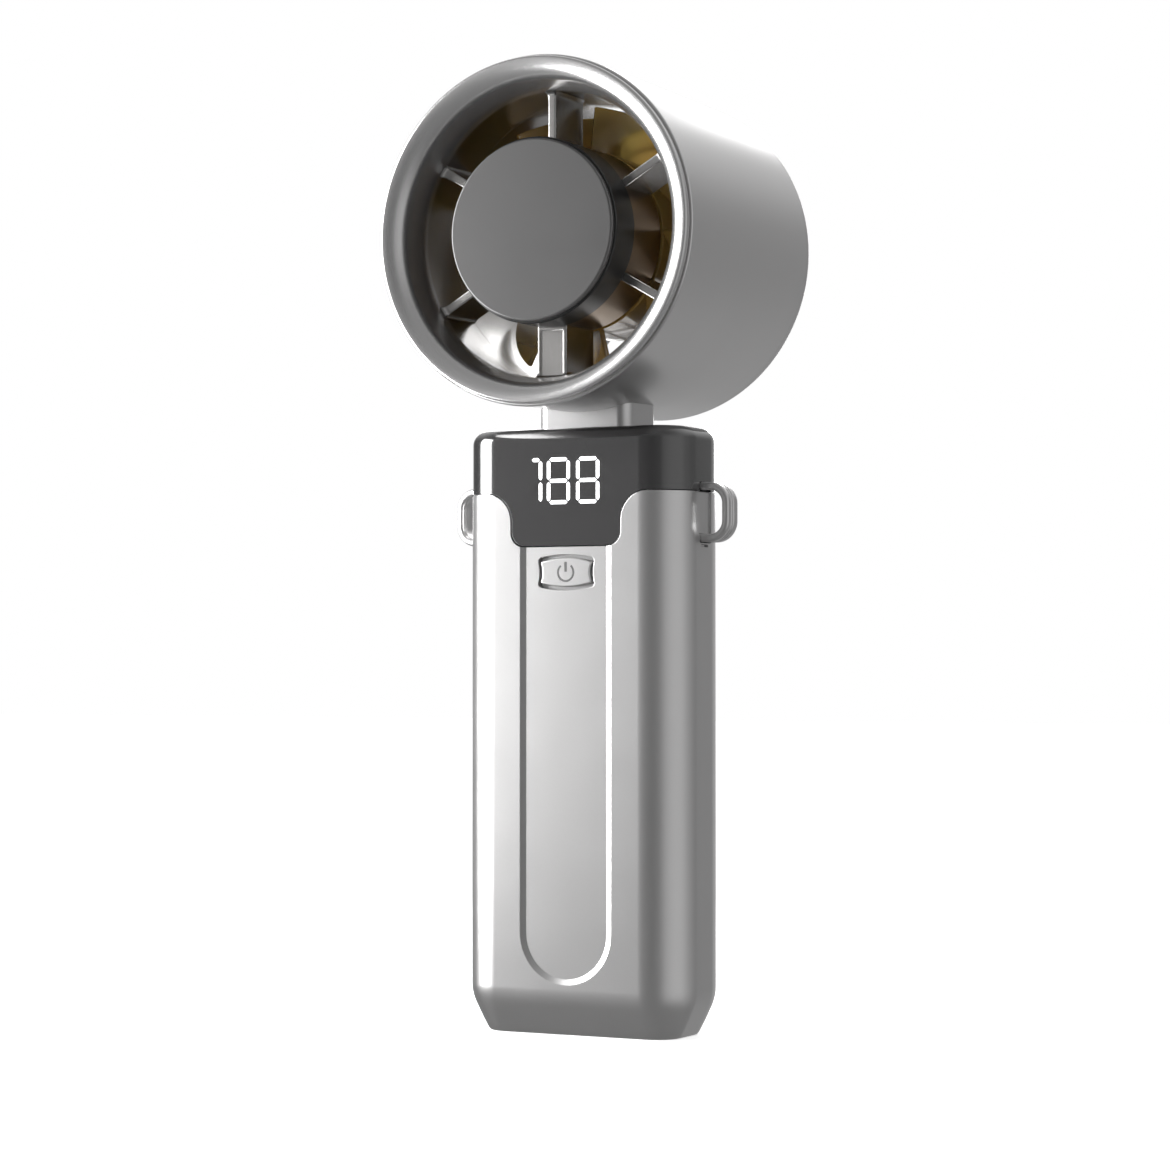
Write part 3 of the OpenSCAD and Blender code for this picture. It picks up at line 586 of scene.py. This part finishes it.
def build_sleeve():
    sleeve = post("silver_sleeve", BODY_W, BODY_D, CORNER_R, foot_levels() + [(SEAM_Z, 0.0)])
    skin = smooth_copy(sleeve)
    inside = post("inside", BODY_W - 2 * WALL, BODY_D - 2 * WALL, CORNER_R - WALL,
                  [(FOOT_TOP_Z - 1, 0), (SEAM_Z + OVER, 0)])
    low_inside = post("low_inside", BODY_W - 2 * FOOT_WALL, BODY_D - 2 * FOOT_WALL, CORNER_R - 3,
                      [(FOOT_FLOOR_Z, 0), (FOOT_TOP_Z, 0)])
    tab = facing("tab", tab_outline(SEAM_GAP, SEAM_Z + OVER), FRONT_Y - OVER, FRONT_Y + WALL + 2.2)
    slope = (RECESS_OUTER - RECESS_INNER) / RECESS_DEPTH
    outer = stadium(RECESS_OUTER + RECESS_OVER * slope, RECESS_Z - RECESS_OVER * slope, SEAM_Z + OVER)
    inner = stadium(RECESS_INNER, RECESS_Z + RECESS_OUTER - RECESS_INNER, SEAM_Z + OVER)
    recess = loft("recess", [[(x, FRONT_Y - RECESS_OVER, z) for x, z in outer],
                             [(x, FRONT_Y + RECESS_DEPTH, z) for x, z in inner]])
    hole = facing("hole", button_outline(0), FRONT_Y - OVER, FRONT_Y + WALL + OVER)
    port_z = (usb_low.z + usb_high.z) / 2
    port_r = (usb_high.z - usb_low.z) / 2 + CAP_GAP
    port_w = usb_high.x - usb_low.x + 2 * CAP_GAP
    port_outline = [(x, port_z + z) for x, z in rounded_rect(port_w, 2 * port_r, port_r - 0.01)]
    port = facing("port", port_outline, 0, BODY_D)
    cut(sleeve, inside, low_inside, recess, tab, hole, port)
    for side in (-1, 1):
        cut(sleeve, *loop_cutters(side))
        cut(sleeve, upright("well", side * BASE_SCREW_X, 0, BASE_SCREW_R, -OVER, BASE_SCREW_DEEP))
    soften(sleeve, 0.12)
    take_normals(sleeve, skin)
    finish_piece(sleeve, SILVER, "handle", "sleeve")


LOOP_FRONT = loop_low.y
LOOP_BACK = loop_high.y
LOOP_LOW = loop_low.z
LOOP_HIGH = loop_high.z
LOOP_OUT = loop_high.x
LOOP_BAND = 1.45
LOOP_CORNER = 3.9
LOOP_GAP = 0.1
LOOP_ROOT_X = 21.6


def loop_cutters(side):
    """The two slots that a loop's legs pass through, the shallow pad between them and the slit below"""
    front, back = LOOP_FRONT - LOOP_GAP, LOOP_BACK + LOOP_GAP
    slots = [side_box(side, 3.0, front, back, z - LOOP_GAP, z + LOOP_BAND + LOOP_GAP)
             for z in (LOOP_LOW, LOOP_HIGH - LOOP_BAND)]
    slots.append(side_box(side, 0.3, LOOP_FRONT - 0.6, back, LOOP_LOW + LOOP_BAND, SEAM_Z + SEAM_GAP))
    slots.append(side_box(side, 0.8, LOOP_FRONT + 0.3, LOOP_FRONT + 3.2, LOOP_LOW - 0.85, LOOP_LOW - 0.4))
    return slots


def side_box(side, depth, y0, y1, z0, z1):
    """A box that cuts into the handle's side to a depth"""
    x0, x1 = side * (BODY_W / 2 - depth), side * (BODY_W / 2 + OVER)
    return facing("side_box", [(x0, z0), (x1, z0), (x1, z1), (x0, z1)], y0, y1)


def build_top_cap():
    levels = [(TAB_Z - 4, 0.0), (CAP_TOP - CAP_ROUND, 0.0)]
    steps = 12
    for k in range(1, steps + 1):
        angle = math.pi / 2 * k / steps
        levels.append((CAP_TOP - CAP_ROUND * (1 - math.sin(angle)), CAP_ROUND * (1 - math.cos(angle))))
    w, d, r = BODY_W - 2 * CAP_GAP, BODY_D - 2 * CAP_GAP, CORNER_R - CAP_GAP
    cap = post("display_cap", w, d, r, levels)
    skin = smooth_copy(cap)
    inside = post("inside", w - 2 * WALL, d - 2 * WALL, r - WALL, [(TAB_Z - 8, 0), (CAP_TOP - CAP_ROOF, 0)])
    floor_z = TAB_Z - 10
    low_back = facing("low_back", [(-BODY_W, floor_z), (BODY_W, floor_z), (BODY_W, CAP_EDGE_Z),
                                   (-BODY_W, CAP_EDGE_Z)], FRONT_Y + CORNER_R - 1, BODY_D)
    sides = [(-BODY_W, CAP_EDGE_Z), (-BODY_W, floor_z), (BODY_W, floor_z), (BODY_W, CAP_EDGE_Z)]
    below = facing("below", tab_outline(0, CAP_EDGE_Z) + sides, -BODY_D, FRONT_Y + CORNER_R)
    cut(cap, inside, below, low_back)
    hole = post("hole", NECK_W + 0.3, NECK_D + 0.3, NECK_CORNER + 0.2,
                [(CAP_TOP - CAP_ROOF - OVER, 0), (CAP_TOP + OVER, 0)], NECK_Y)
    cut(cap, hole)
    for side in (-1, 1):
        cut(cap, *loop_cutters(side))
    soften(cap, 0.1)
    windows = [facing("window", outline, FRONT_Y - OVER, FRONT_Y + WINDOW_DEEP)
               for outline in digit_outlines()]
    cut(cap, join("windows", windows))
    shade(cap, PART_SMOOTH_DEG)
    take_normals(cap, skin)
    finish_piece(cap, SMOKE, "handle", "top_cap")


# ---------------------------------------------------------------- digits

DIGIT_H = 8.6
DIGIT_W = 4.8
DIGIT_PITCH = 6.1
DIGIT_MIDDLE_X = 1.6
DIGIT_MIDDLE_Z = 102.2
BAR_T = 0.7
BAR_GAP = 0.19
FLAG_LENGTH = 2.0
ONE_SHIFT = 0.3
WINDOW_DEEP = 0.5


def bar(x, z, length, degrees):
    """One bar of a digit: a thin strip with pointed ends"""
    reach = length / 2 - BAR_GAP
    t = BAR_T / 2
    points = [(-reach, 0), (t - reach, t), (reach - t, t), (reach, 0), (reach - t, -t), (t - reach, -t)]
    c, s = math.cos(math.radians(degrees)), math.sin(math.radians(degrees))
    return [(x + px * c - pz * s, z + px * s + pz * c) for px, pz in points]


def digit_outlines():
    across = DIGIT_W - BAR_T
    half = (DIGIT_H - BAR_T) / 2
    bars = []
    for middle in (DIGIT_MIDDLE_X - DIGIT_PITCH / 2, DIGIT_MIDDLE_X + DIGIT_PITCH / 2):
        bars += [bar(middle, DIGIT_MIDDLE_Z + row * half, across, 0) for row in (-1, 0, 1)]
        bars += [bar(middle + side * across / 2, DIGIT_MIDDLE_Z + row * half / 2, half, 90)
                 for side in (-1, 1) for row in (-1, 1)]
    one_x = DIGIT_MIDDLE_X - 1.5 * DIGIT_PITCH + ONE_SHIFT
    bars += [bar(one_x + across / 2, DIGIT_MIDDLE_Z + row * half / 2, half, 90) for row in (-1, 1)]
    bars.append(bar(one_x + (across - FLAG_LENGTH) / 2, DIGIT_MIDDLE_Z + half, FLAG_LENGTH, 0))
    return bars


def build_digits():
    face, back = FRONT_Y + CAP_GAP - 0.02, FRONT_Y + WINDOW_DEEP - 0.02
    digits = join("display_digits_lit", [facing("bar", outline, face, back) for outline in digit_outlines()])
    shade(digits, SMALL_SMOOTH_DEG)
    finish_piece(digits, DIGITS, "handle", "display_digits")


# ---------------------------------------------------------------- button


FLANGE_FRONT_Y = FRONT_Y + 1.8
FLANGE_W = 14.2
FLANGE_H = 8.2
MARK_OUTER = 1.8
MARK_INNER = 1.4
MARK_HALF_STROKE = 0.27
MARK_DEEP = 0.16


def build_button():
    face = button_low.y
    edge, steps = 0.3, 5
    levels = [(FLANGE_FRONT_Y, -BUTTON_GROOVE), (face + edge, -BUTTON_GROOVE)]
    for k in range(1, steps + 1):
        angle = math.pi / 2 * k / steps
        levels.append((face + edge * (1 - math.sin(angle)), -BUTTON_GROOVE - edge * (1 - math.cos(angle))))
    loops = [[(x, y, z) for x, z in button_outline(grow)] for y, grow in levels]
    button = loft("power_button_cap", loops)
    for outline in power_mark_outlines(0.0):
        cut(button, facing("groove", outline, face - 1, face + MARK_DEEP))
    shade(button, 35)
    flange_outline = [(x, BUTTON_Z + z) for x, z in rounded_rect(FLANGE_W, FLANGE_H, 1.0)]
    flange = facing("flange", flange_outline, FLANGE_FRONT_Y, button_high.y)
    button = join("power_button_cap", [button, flange])
    finish_piece(button, SILVER, "button", "power_button")
    marks = [facing("mark", outline, face + 0.06, face + 0.15) for outline in power_mark_outlines(0.015)]
    mark = join("power_mark", marks)
    finish_piece(mark, MARK_GREY, "button", None)


def power_mark_outlines(inset):
    """A generic power mark: an open ring and a short upright stroke"""
    outer, inner, half_gap = MARK_OUTER - inset, MARK_INNER + inset, math.radians(40)
    steps = 40
    sweep = [math.pi / 2 + half_gap + (math.tau - 2 * half_gap) * k / steps for k in range(steps + 1)]
    ring = [(outer * math.cos(a), BUTTON_Z + outer * math.sin(a)) for a in sweep]
    ring += [(inner * math.cos(a), BUTTON_Z + inner * math.sin(a)) for a in reversed(sweep)]
    half, low, high = MARK_HALF_STROKE - inset, BUTTON_Z + 0.1 + inset, BUTTON_Z + 1.95 - inset
    stroke = [(-half, low), (half, low), (half, high), (-half, high)]
    return [ring, stroke]


# ---------------------------------------------------------------- loops and neck


def build_loop(side):
    """A D-shaped band with a round bead along its front edge and two shallow grooves behind the bead"""
    t = LOOP_BAND / 2
    f, b = LOOP_FRONT, LOOP_BACK
    section = fillet([(t, f, 0.55), (t, f + 1.25, 0.2), (t - 0.3, f + 1.4, 0.08), (t - 0.3, f + 1.55, 0.08),
                      (t - 0.05, f + 1.75, 0.15), (t - 0.05, f + 2.15, 0.15), (t - 0.25, f + 2.3, 0.08),
                      (t - 0.25, f + 2.4, 0.08), (t, f + 2.6, 0.2), (t, b, 0.5), (-t + 0.15, b, 0.5),
                      (-t + 0.15, f + 1.5, 0.25), (-t, f + 1.1, 0.3), (-t, f, 0.55)], 5)
    path = fillet([(LOOP_ROOT_X, LOOP_LOW + t, 0), (LOOP_OUT - t, LOOP_LOW + t, LOOP_CORNER - t),
                   (LOOP_OUT - t, LOOP_HIGH - t, LOOP_CORNER - t), (LOOP_ROOT_X, LOOP_HIGH - t, 0)], 16)
    loops = []
    for i, (x, z) in enumerate(path):
        before, after = Vector(path[max(i - 1, 0)]), Vector(path[min(i + 1, len(path) - 1)])
        along = (after - before).normalized()
        out = Vector((along.y, -along.x))
        loops.append([(side * (x + out.x * n), y, z + out.y * n) for n, y in section])
    name = "right_lanyard_loop" if side > 0 else "left_lanyard_loop"
    loop = loft(name, loops)
    shade(loop, 45)
    finish_piece(loop, SILVER, "handle", "right_loop" if side > 0 else "left_loop")


BARREL_REAR_R = 31.05
SHELL_IN_R = 30.2
DUCT_R = 26.3
DUCT_WALL = 1.3
FOOT_PLATE_T = 2.0
LEAD_BORE_R = 2.2


def build_neck():
    foot_top = neck_low.z + FOOT_PLATE_T
    neck = post("neck_post", NECK_W, NECK_D, NECK_CORNER, [(foot_top, 0), (AXIS_Z - DUCT_R, 0)], NECK_Y)
    gap, front = 0.02, shell_low.y - 0.6
    barrel = lathe("barrel", [(0, front), (BARREL_R + gap, front), (BARREL_REAR_R + gap, shell_high.y),
                              (0, shell_high.y)])
    cut(neck, barrel, upright("bore", 0, NECK_Y, LEAD_BORE_R, neck_low.z - OVER, AXIS_Z))
    shade(neck)
    foot = post("neck_foot", 26, 14, 2, [(neck_low.z, 0), (foot_top, 0)], NECK_Y)
    neck = join("neck_post", [neck, foot])
    finish_piece(neck, SILVER, "handle", "neck")


# ---------------------------------------------------------------- barrel


def build_barrel():
    front, rear = shell_low.y, shell_high.y
    profile = fillet([(SHELL_IN_R, front, 0.1), (BARREL_R, front, 0.4), (BARREL_REAR_R, rear, 0.12),
                      (SHELL_IN_R, rear, 0.1)], 6)
    shell = lathe("barrel_sleeve", profile, FINE_LATHE_STEPS)
    shade(shell, PART_SMOOTH_DEG)
    finish_piece(shell, SILVER, "handle", "barrel_shell")


LIP_CENTRE_R = 31.35
LIP_ARC_R = 4.1
LIP_TURN = 72
THROAT_Y = -18.4


def build_front_ring():
    """A broad arc turns in from the lip's rim and runs down through the throat to the duct"""
    seam_y = shell_low.y - 0.12
    back_r = SHELL_IN_R - 0.2
    rim_r = BARREL_R - 0.45
    front = lip_front_y
    steps = 26
    arc = [(LIP_CENTRE_R - LIP_ARC_R * math.sin(a), front + LIP_ARC_R * (1 - math.cos(a)), 0)
           for a in (math.radians(LIP_TURN) * k / steps for k in range(2, steps + 1))]
    rim = [(back_r, seam_y + 4, 0), (back_r, seam_y, 0), (rim_r, seam_y, 0.1), (rim_r, front, 0.5)]
    throat = [(DUCT_R, THROAT_Y, 9.0), (DUCT_R, VANE_FRONT, 0), (back_r, VANE_FRONT, 0)]
    ring = lathe("front_lip", fillet(rim + arc + throat, 8), FINE_LATHE_STEPS)
    shade(ring, PART_SMOOTH_DEG)
    finish_piece(ring, RING_SILVER, "handle", "front_ring")


VANE_FRONT = hub_high.y
VANE_REAR = vane_high.y
VANE_T = 1.7
VANE_ANGLES = (30, 90, 150, 210, 330)
STRUT_W = 6.1
STRUT_ANGLE = 270
HUB_TUBE_R = 15.7
PLATE_FRONT = -8.2
PLATE_REAR = -6.6
PLATE_BORE_R = 4.2


def vane_loops(width, steps=22):
    """Loops from the hub out to the duct. The root flares wider and forward into the duct wall"""
    loops = []
    for k in range(steps + 1):
        r = HUB_R - 0.4 + (DUCT_R + 0.9 - HUB_R + 0.4) * k / steps
        flare = max(0.0, (r - DUCT_R + 1.1) / 1.5)
        half = width / 2 + 0.8 * flare ** 2
        front = VANE_FRONT - 1.4 * flare ** 2
        edge = min(0.35, width * 0.2)
        section = fillet([(-half, front, edge), (half, front, edge), (half, VANE_REAR, 0.2),
                          (-half, VANE_REAR, 0.2)], 4)
        loops.append([(r, a, y) for a, y in section])
    return loops


def build_vane_ring():
    """The ring that fits in the duct, its middle tube and the vanes. The tube's front end is a spigot"""
    tube_in = HUB_TUBE_R - 1.5
    band = lathe("duct_front_band", fillet([
        (DUCT_R, VANE_FRONT, 0), (DUCT_R + DUCT_WALL, VANE_FRONT, 0), (DUCT_R + DUCT_WALL, VANE_REAR, 0.1),
        (DUCT_R, VANE_REAR, 0.1)], 4), FINE_LATHE_STEPS)
    tube = lathe("hub_tube", fillet([
        (tube_in, vane_low.y, 0.1), (HUB_TUBE_R - 0.02, vane_low.y, 0.1), (HUB_TUBE_R - 0.02, VANE_FRONT, 0),
        (HUB_R - 0.05, VANE_FRONT, 0.1), (HUB_R - 0.05, VANE_REAR, 0.3), (tube_in, VANE_REAR, 0.1)], 4))
    plate = lathe("plate", [(PLATE_BORE_R, PLATE_FRONT), (tube_in + 0.1, PLATE_FRONT),
                            (tube_in + 0.1, PLATE_REAR), (PLATE_BORE_R, PLATE_REAR)])
    shade(band, SMALL_SMOOTH_DEG)
    finish_piece(band, DUCT_SILVER, "handle", None)
    tube = join("hub_tube_and_plate", [tube, plate])
    shade(tube, SMALL_SMOOTH_DEG)
    finish_piece(tube, TUBE_BRONZE, "handle", None)
    vanes = join("guide_vanes", [around("vane", vane_loops(VANE_T), angle) for angle in VANE_ANGLES])
    shade(vanes, SMALL_SMOOTH_DEG)
    finish_piece(vanes, VANE_SILVER, "handle", "vane_ring")
    strut = around("cable_strut", vane_loops(STRUT_W), STRUT_ANGLE)
    half, front, rear = STRUT_W / 2 - 0.75, VANE_FRONT - OVER, VANE_FRONT + 0.25
    section = [(-half, front), (half, front), (half, rear), (-half, rear)]
    loops = [[(r, a, y) for a, y in section] for r in (HUB_R + 0.5, DUCT_R - 0.5)]
    panel = around("panel", loops, STRUT_ANGLE)
    cut(strut, panel)
    soften(strut, 0.1)
    finish_piece(strut, VANE_SILVER, "handle", None)


CUP_T = 1.6


def build_hub():
    front, rear = hub_low.y, hub_high.y
    profile = fillet([(0, front, 0), (HUB_R, front, 0.35), (HUB_R, rear, 0.15), (HUB_TUBE_R, rear, 0.1),
                      (HUB_TUBE_R, front + CUP_T, 0.2), (0, front + CUP_T, 0)], 6)
    cap = lathe("hub_cup", profile)
    shade(cap, SMALL_SMOOTH_DEG)
    finish_piece(cap, HUB_BLACK, "handle", "hub_cap")
    disc = lathe("hub_face", fillet([(0, disc_low.y, 0), (DISC_R, disc_low.y, 0.45), (DISC_R, disc_high.y, 0),
                                     (0, disc_high.y, 0)], 8))
    shade(disc, 20)
    finish_piece(disc, DISC_GREY, "handle", "hub_disc")


def build_duct_liner():
    front, rear = liner_low.y, liner_high.y
    flange = rear - 2
    liner = lathe("duct_tube", fillet([
        (DUCT_R, front, 0.05), (DUCT_R + DUCT_WALL, front, 0.05), (DUCT_R + DUCT_WALL, flange, 0.1),
        (SHELL_IN_R, flange, 0.1), (SHELL_IN_R, rear, 0.1), (DUCT_R, rear, 0.4)], 5), FINE_LATHE_STEPS)
    shade(liner, SMALL_SMOOTH_DEG)
    finish_piece(liner, DUCT_SILVER, "handle", "duct_liner")


RIB_COUNT = 18
GUARD_HUB_R = 8.0
GUARD_RINGS = (12.6, 22.4)
GUARD_RING_W = 0.8
GUARD_T = 2.0
RIB_W = 0.9


def build_grille():
    rear = grille_rear_y
    face = rear - GUARD_T
    rim_in, rim_out = DUCT_R + 0.3, BARREL_REAR_R - 0.05
    parts = [lathe("rim", fillet([(rim_in, shell_high.y, 0.2), (rim_out, shell_high.y, 0.12),
                                  (rim_out, rear, 1.1), (rim_in, rear, 0.7)], 8), FINE_LATHE_STEPS)]
    boss_rear, ring_rear, rib_rear = rear - 0.2, rear - 0.4, rear - 0.3
    parts.append(lathe("boss", fillet([(0, face, 0), (GUARD_HUB_R, face, 0.3), (GUARD_HUB_R, boss_rear, 0.7),
                                       (0, boss_rear, 0)], 8)))
    for r in GUARD_RINGS:
        out = r + GUARD_RING_W
        section = [(r, face, 0.3), (out, face, 0.3), (out, ring_rear, 0.39), (r, ring_rear, 0.39)]
        parts.append(lathe("middle", fillet(section, 5)))
    half = RIB_W / 2
    section = fillet([(-half, face, 0.2), (half, face, 0.2), (half, rib_rear, 0.42),
                      (-half, rib_rear, 0.42)], 4)
    for k in range(RIB_COUNT):
        loops = [[(r, a, y) for a, y in section] for r in (GUARD_HUB_R - 0.4, DUCT_R + 0.6)]
        parts.append(around("rib", loops, 360 * (k + 0.5) / RIB_COUNT))
    grille = join("intake_grille", parts)
    shade(grille, SMALL_SMOOTH_DEG)
    finish_piece(grille, SILVER, "handle", "rear_grille")


# ---------------------------------------------------------------- impeller

BLADE_COUNT = 9
BLADE_START = 36
BLADE_SWEEP = 34
BLADE_T = 0.9
BLADE_FRONT = -4.4
BLADE_REAR = 10.8
ROTOR_IN_R = 15.5
ROTOR_FLOOR_Y = 10.5


def blade(start):
    """One blade: its chord turns round the axis from front to rear, and its edges are round"""
    along, out = 18, 8
    verts, faces = [], []
    for j in range(out + 1):
        r = HUB_R - 0.6 + (rotor_high.x - HUB_R + 0.6) * j / out
        for i in range(along + 1):
            t = i / along
            turn = -math.radians(start + BLADE_SWEEP * (t + 0.25 * t * (1 - t)))
            y = BLADE_FRONT + (BLADE_REAR - BLADE_FRONT) * t
            verts.append((r * math.cos(turn), y, AXIS_Z + r * math.sin(turn)))
    for j in range(out):
        for i in range(along):
            a = j * (along + 1) + i
            faces.append((a, a + 1, a + along + 2, a + along + 1))
    piece = make("blade", verts, faces)
    thick = piece.modifiers.new("thick", "SOLIDIFY")
    thick.thickness = BLADE_T * MM
    thick.offset = 0
    edge = piece.modifiers.new("edge", "BEVEL")
    edge.width = 0.28 * MM
    edge.segments = 3
    edge.limit_method = "ANGLE"
    edge.angle_limit = math.radians(50)
    bake(piece)
    return piece


def build_impeller():
    rear = rotor_high.y
    profile = fillet([(ROTOR_IN_R, rotor_low.y, 0.1), (HUB_R, rotor_low.y, 0.2), (HUB_R, rear, 1.2),
                      (0, rear, 0), (0, ROTOR_FLOOR_Y, 0), (ROTOR_IN_R, ROTOR_FLOOR_Y, 0)], 8)
    parts = [lathe("hub", profile)]
    parts += [blade(BLADE_START + 360 * k / BLADE_COUNT) for k in range(BLADE_COUNT)]
    impeller = join("smoky_impeller", parts)
    shade(impeller, SMALL_SMOOTH_DEG)
    finish_piece(impeller, AMBER, "rotor", "impeller")


# ---------------------------------------------------------------- inner CAD pieces keep their shape

INNER_FINISHES = {
    "display_module": BLACK_PLASTIC, "main_board": BOARD, "tact_switch": BLACK_PLASTIC, "charge_board": BOARD,
    "usb_port": STEEL, "chassis": DARK_PLASTIC, "left_cell": CELL_WRAP, "right_cell": CELL_WRAP,
    "cell_links": NICKEL, "base_screws": SCREW, "neck_screws": SCREW, "barrel_screws": SCREW,
    "motor_leads": RUBBER, "motor_base": ALLOY, "motor_screws": SCREW, "motor_board": BOARD,
    "front_bearing": BRIGHT_STEEL, "rear_bearing": BRIGHT_STEEL, "stator_core": LAMINATED,
    "stator_coils": COPPER, "switch_plunger": IVORY, "rotor_can": STEEL, "magnet_ring": MAGNET,
    "motor_shaft": BRIGHT_STEEL, "shaft_bush": BRASS, "shaft_clip": SCREW,
}


def finish_inner_pieces():
    for node, material in INNER_FINISHES.items():
        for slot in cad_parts[node].material_slots:
            slot.material = material


# ---------------------------------------------------------------- camera, light and floor


# The camera that was fitted to the photograph. Angles are in degrees, the target is in millimetres, and the
# distance is in metres.
CAMERA_TURN = 27.72
CAMERA_RISE = 1.496
CAMERA_TARGET = (-1.36, -0.72, 83.86)
CAMERA_DISTANCE = 0.5983
CAMERA_LENS = 98.4


def add_camera():
    turn, rise = math.radians(CAMERA_TURN), math.radians(CAMERA_RISE)
    forward = Vector((-math.sin(turn) * math.cos(rise), math.cos(turn) * math.cos(rise), math.sin(rise)))
    target = Vector(CAMERA_TARGET) * MM
    data = bpy.data.cameras.new("camera")
    data.sensor_width = 36.0
    data.lens = CAMERA_LENS
    data.clip_start = 0.01
    data.clip_end = 50.0
    camera = bpy.data.objects.new("camera", data)
    camera.location = target - forward * CAMERA_DISTANCE
    camera.rotation_mode = "QUATERNION"
    camera.rotation_quaternion = forward.to_track_quat("-Z", "Y")
    bpy.context.scene.collection.objects.link(camera)
    bpy.context.scene.camera = camera


def add_panel(name, compass, elevation, distance, middle, width, height, radiance, through=False):
    """A softbox facing the middle point. Its compass direction is 0 in front of the fan, 90 to its right"""
    turn, rise = math.radians(compass), math.radians(elevation)
    out = Vector((math.sin(turn) * math.cos(rise), -math.cos(turn) * math.cos(rise), math.sin(rise)))
    data = bpy.data.lights.new(name, "AREA")
    data.shape = "RECTANGLE"
    data.size = width
    data.size_y = height
    data.energy = radiance * math.pi * width * height
    light = bpy.data.objects.new(name, data)
    light.location = Vector(middle) + out * distance
    light.rotation_mode = "QUATERNION"
    light.rotation_quaternion = (-out).to_track_quat("-Z", "Y")
    light.visible_camera = False
    light.visible_transmission = through
    bpy.context.scene.collection.objects.link(light)


# Brightness of the studio round the object. The first number is the compass direction in
# degrees, where 0 is in front of the fan and 90 is to its right, as seen from the front.
HORIZON = [(-180, 0.32), (-160, 0.32), (-140, 0.18), (-118, 0.06), (-95, 0.06), (-80, 0.16), (-50, 0.2),
           (-32, 0.22), (-26, 0.22), (-20, 0.11), (12, 0.09), (32, 0.13), (48, 0.3), (66, 0.37), (92, 0.37),
           (112, 0.25), (132, 0.17), (152, 0.13), (163, 0.24)]
HORIZON_STRENGTH = 1.7


def add_world():
    world = bpy.data.worlds.new("studio")
    bpy.context.scene.world = world
    world.use_nodes = True
    tree = world.node_tree
    tree.nodes.clear()
    new, link = tree.nodes.new, tree.links.new

    def math_node(operation, a, b=None):
        node = new("ShaderNodeMath")
        node.operation = operation
        for socket, value in zip(node.inputs, (a, b)):
            if value is None:
                continue
            if isinstance(value, bpy.types.NodeSocket):
                link(value, socket)
            else:
                socket.default_value = value
        return node.outputs["Value"]

    def ramp(source, stops):
        node = new("ShaderNodeValToRGB")
        node.color_ramp.interpolation = "EASE"
        elements = node.color_ramp.elements
        while len(elements) < len(stops):
            elements.new(0.5)
        for element, (position, value) in zip(elements, stops):
            element.position = position
            element.color = (value, value, value, 1)
        link(source, node.inputs["Fac"])
        return node.outputs["Color"]

    direction = new("ShaderNodeSeparateXYZ")
    link(new("ShaderNodeTexCoord").outputs["Generated"], direction.inputs["Vector"])
    x, y, z = direction.outputs
    compass = math_node("ARCTAN2", x, math_node("MULTIPLY", y, -1.0))
    turn = math_node("MULTIPLY_ADD", compass, 1 / math.tau)
    turn.node.inputs[2].default_value = 0.5
    band = ramp(turn, [((degrees + 180) / 360, value) for degrees, value in HORIZON] + [(1.0, HORIZON[0][1])])
    height = math_node("MULTIPLY_ADD", z, 0.5)
    height.node.inputs[2].default_value = 0.5
    depth = math_node("MULTIPLY_ADD", y, 0.5)
    depth.node.inputs[2].default_value = 0.5
    above = ramp(height, [(0.6, 0.0), (0.88, 1.0)])
    below = ramp(height, [(0.14, 1.0), (0.44, 0.0)])
    overhead = ramp(depth, [(0.3, 0.2), (0.9, 0.62)])
    underneath = ramp(depth, [(0.1, 0.11), (0.95, 0.13)])

    def mix(factor, a, b):
        node = new("ShaderNodeMix")
        node.data_type = "RGBA"
        for socket, value in ((node.inputs["Factor"], factor), (node.inputs["A"], a), (node.inputs["B"], b)):
            if isinstance(value, bpy.types.NodeSocket):
                link(value, socket)
            else:
                socket.default_value = (value, value, value, 1)
        return node.outputs["Result"]

    sky = mix(below, mix(above, band, overhead), underneath)
    studio = new("ShaderNodeBackground")
    link(sky, studio.inputs["Color"])
    studio.inputs["Strength"].default_value = HORIZON_STRENGTH
    paper = new("ShaderNodeBackground")
    paper.inputs["Color"].default_value = (1, 1, 1, 1)
    paper.inputs["Strength"].default_value = 1.0
    choose = new("ShaderNodeMixShader")
    link(new("ShaderNodeLightPath").outputs["Is Camera Ray"], choose.inputs["Fac"])
    link(studio.outputs["Background"], choose.inputs[1])
    link(paper.outputs["Background"], choose.inputs[2])
    link(choose.outputs["Shader"], new("ShaderNodeOutputWorld").inputs["Surface"])


FLOOR_HALF = 3000.0
FLOOR_LEVEL = -0.02
FLOOR_GLOW = 0.65


def add_floor():
    corners = ((-1, -1), (1, -1), (1, 1), (-1, 1))
    verts = [(FLOOR_HALF * x, FLOOR_HALF * y, FLOOR_LEVEL) for x, y in corners]
    floor = make("floor", verts, [(0, 1, 2, 3)])
    n = Nodes("pale_floor")
    n.link(n.ramp(n.noise(3.0), 0.86, 0.9), n.shader.inputs["Base Color"])
    n.shader.inputs["Roughness"].default_value = 0.9
    n.shader.inputs["Emission Color"].default_value = (1, 1, 1, 1)
    n.shader.inputs["Emission Strength"].default_value = FLOOR_GLOW
    floor.data.materials.append(n.material)
    floor.visible_glossy = False
    floor.visible_transmission = False


add_camera()
add_world()
add_floor()
add_panel("left_panel", compass=-60, elevation=0, distance=0.23, middle=(-0.015, -0.003, 0.125), width=0.165,
          height=0.245, radiance=12.5)
add_panel("back_panel", compass=-160, elevation=12, distance=0.3, middle=(0.0, 0.003, 0.147), width=0.18,
          height=0.2, radiance=3.8, through=True)
bpy.context.scene.view_settings.view_transform = "Standard"

build_sleeve()
build_top_cap()
build_digits()
build_button()
build_loop(1)
build_loop(-1)
build_neck()
build_barrel()
build_front_ring()
build_vane_ring()
build_hub()
build_duct_liner()
build_grille()
build_impeller()
finish_inner_pieces()
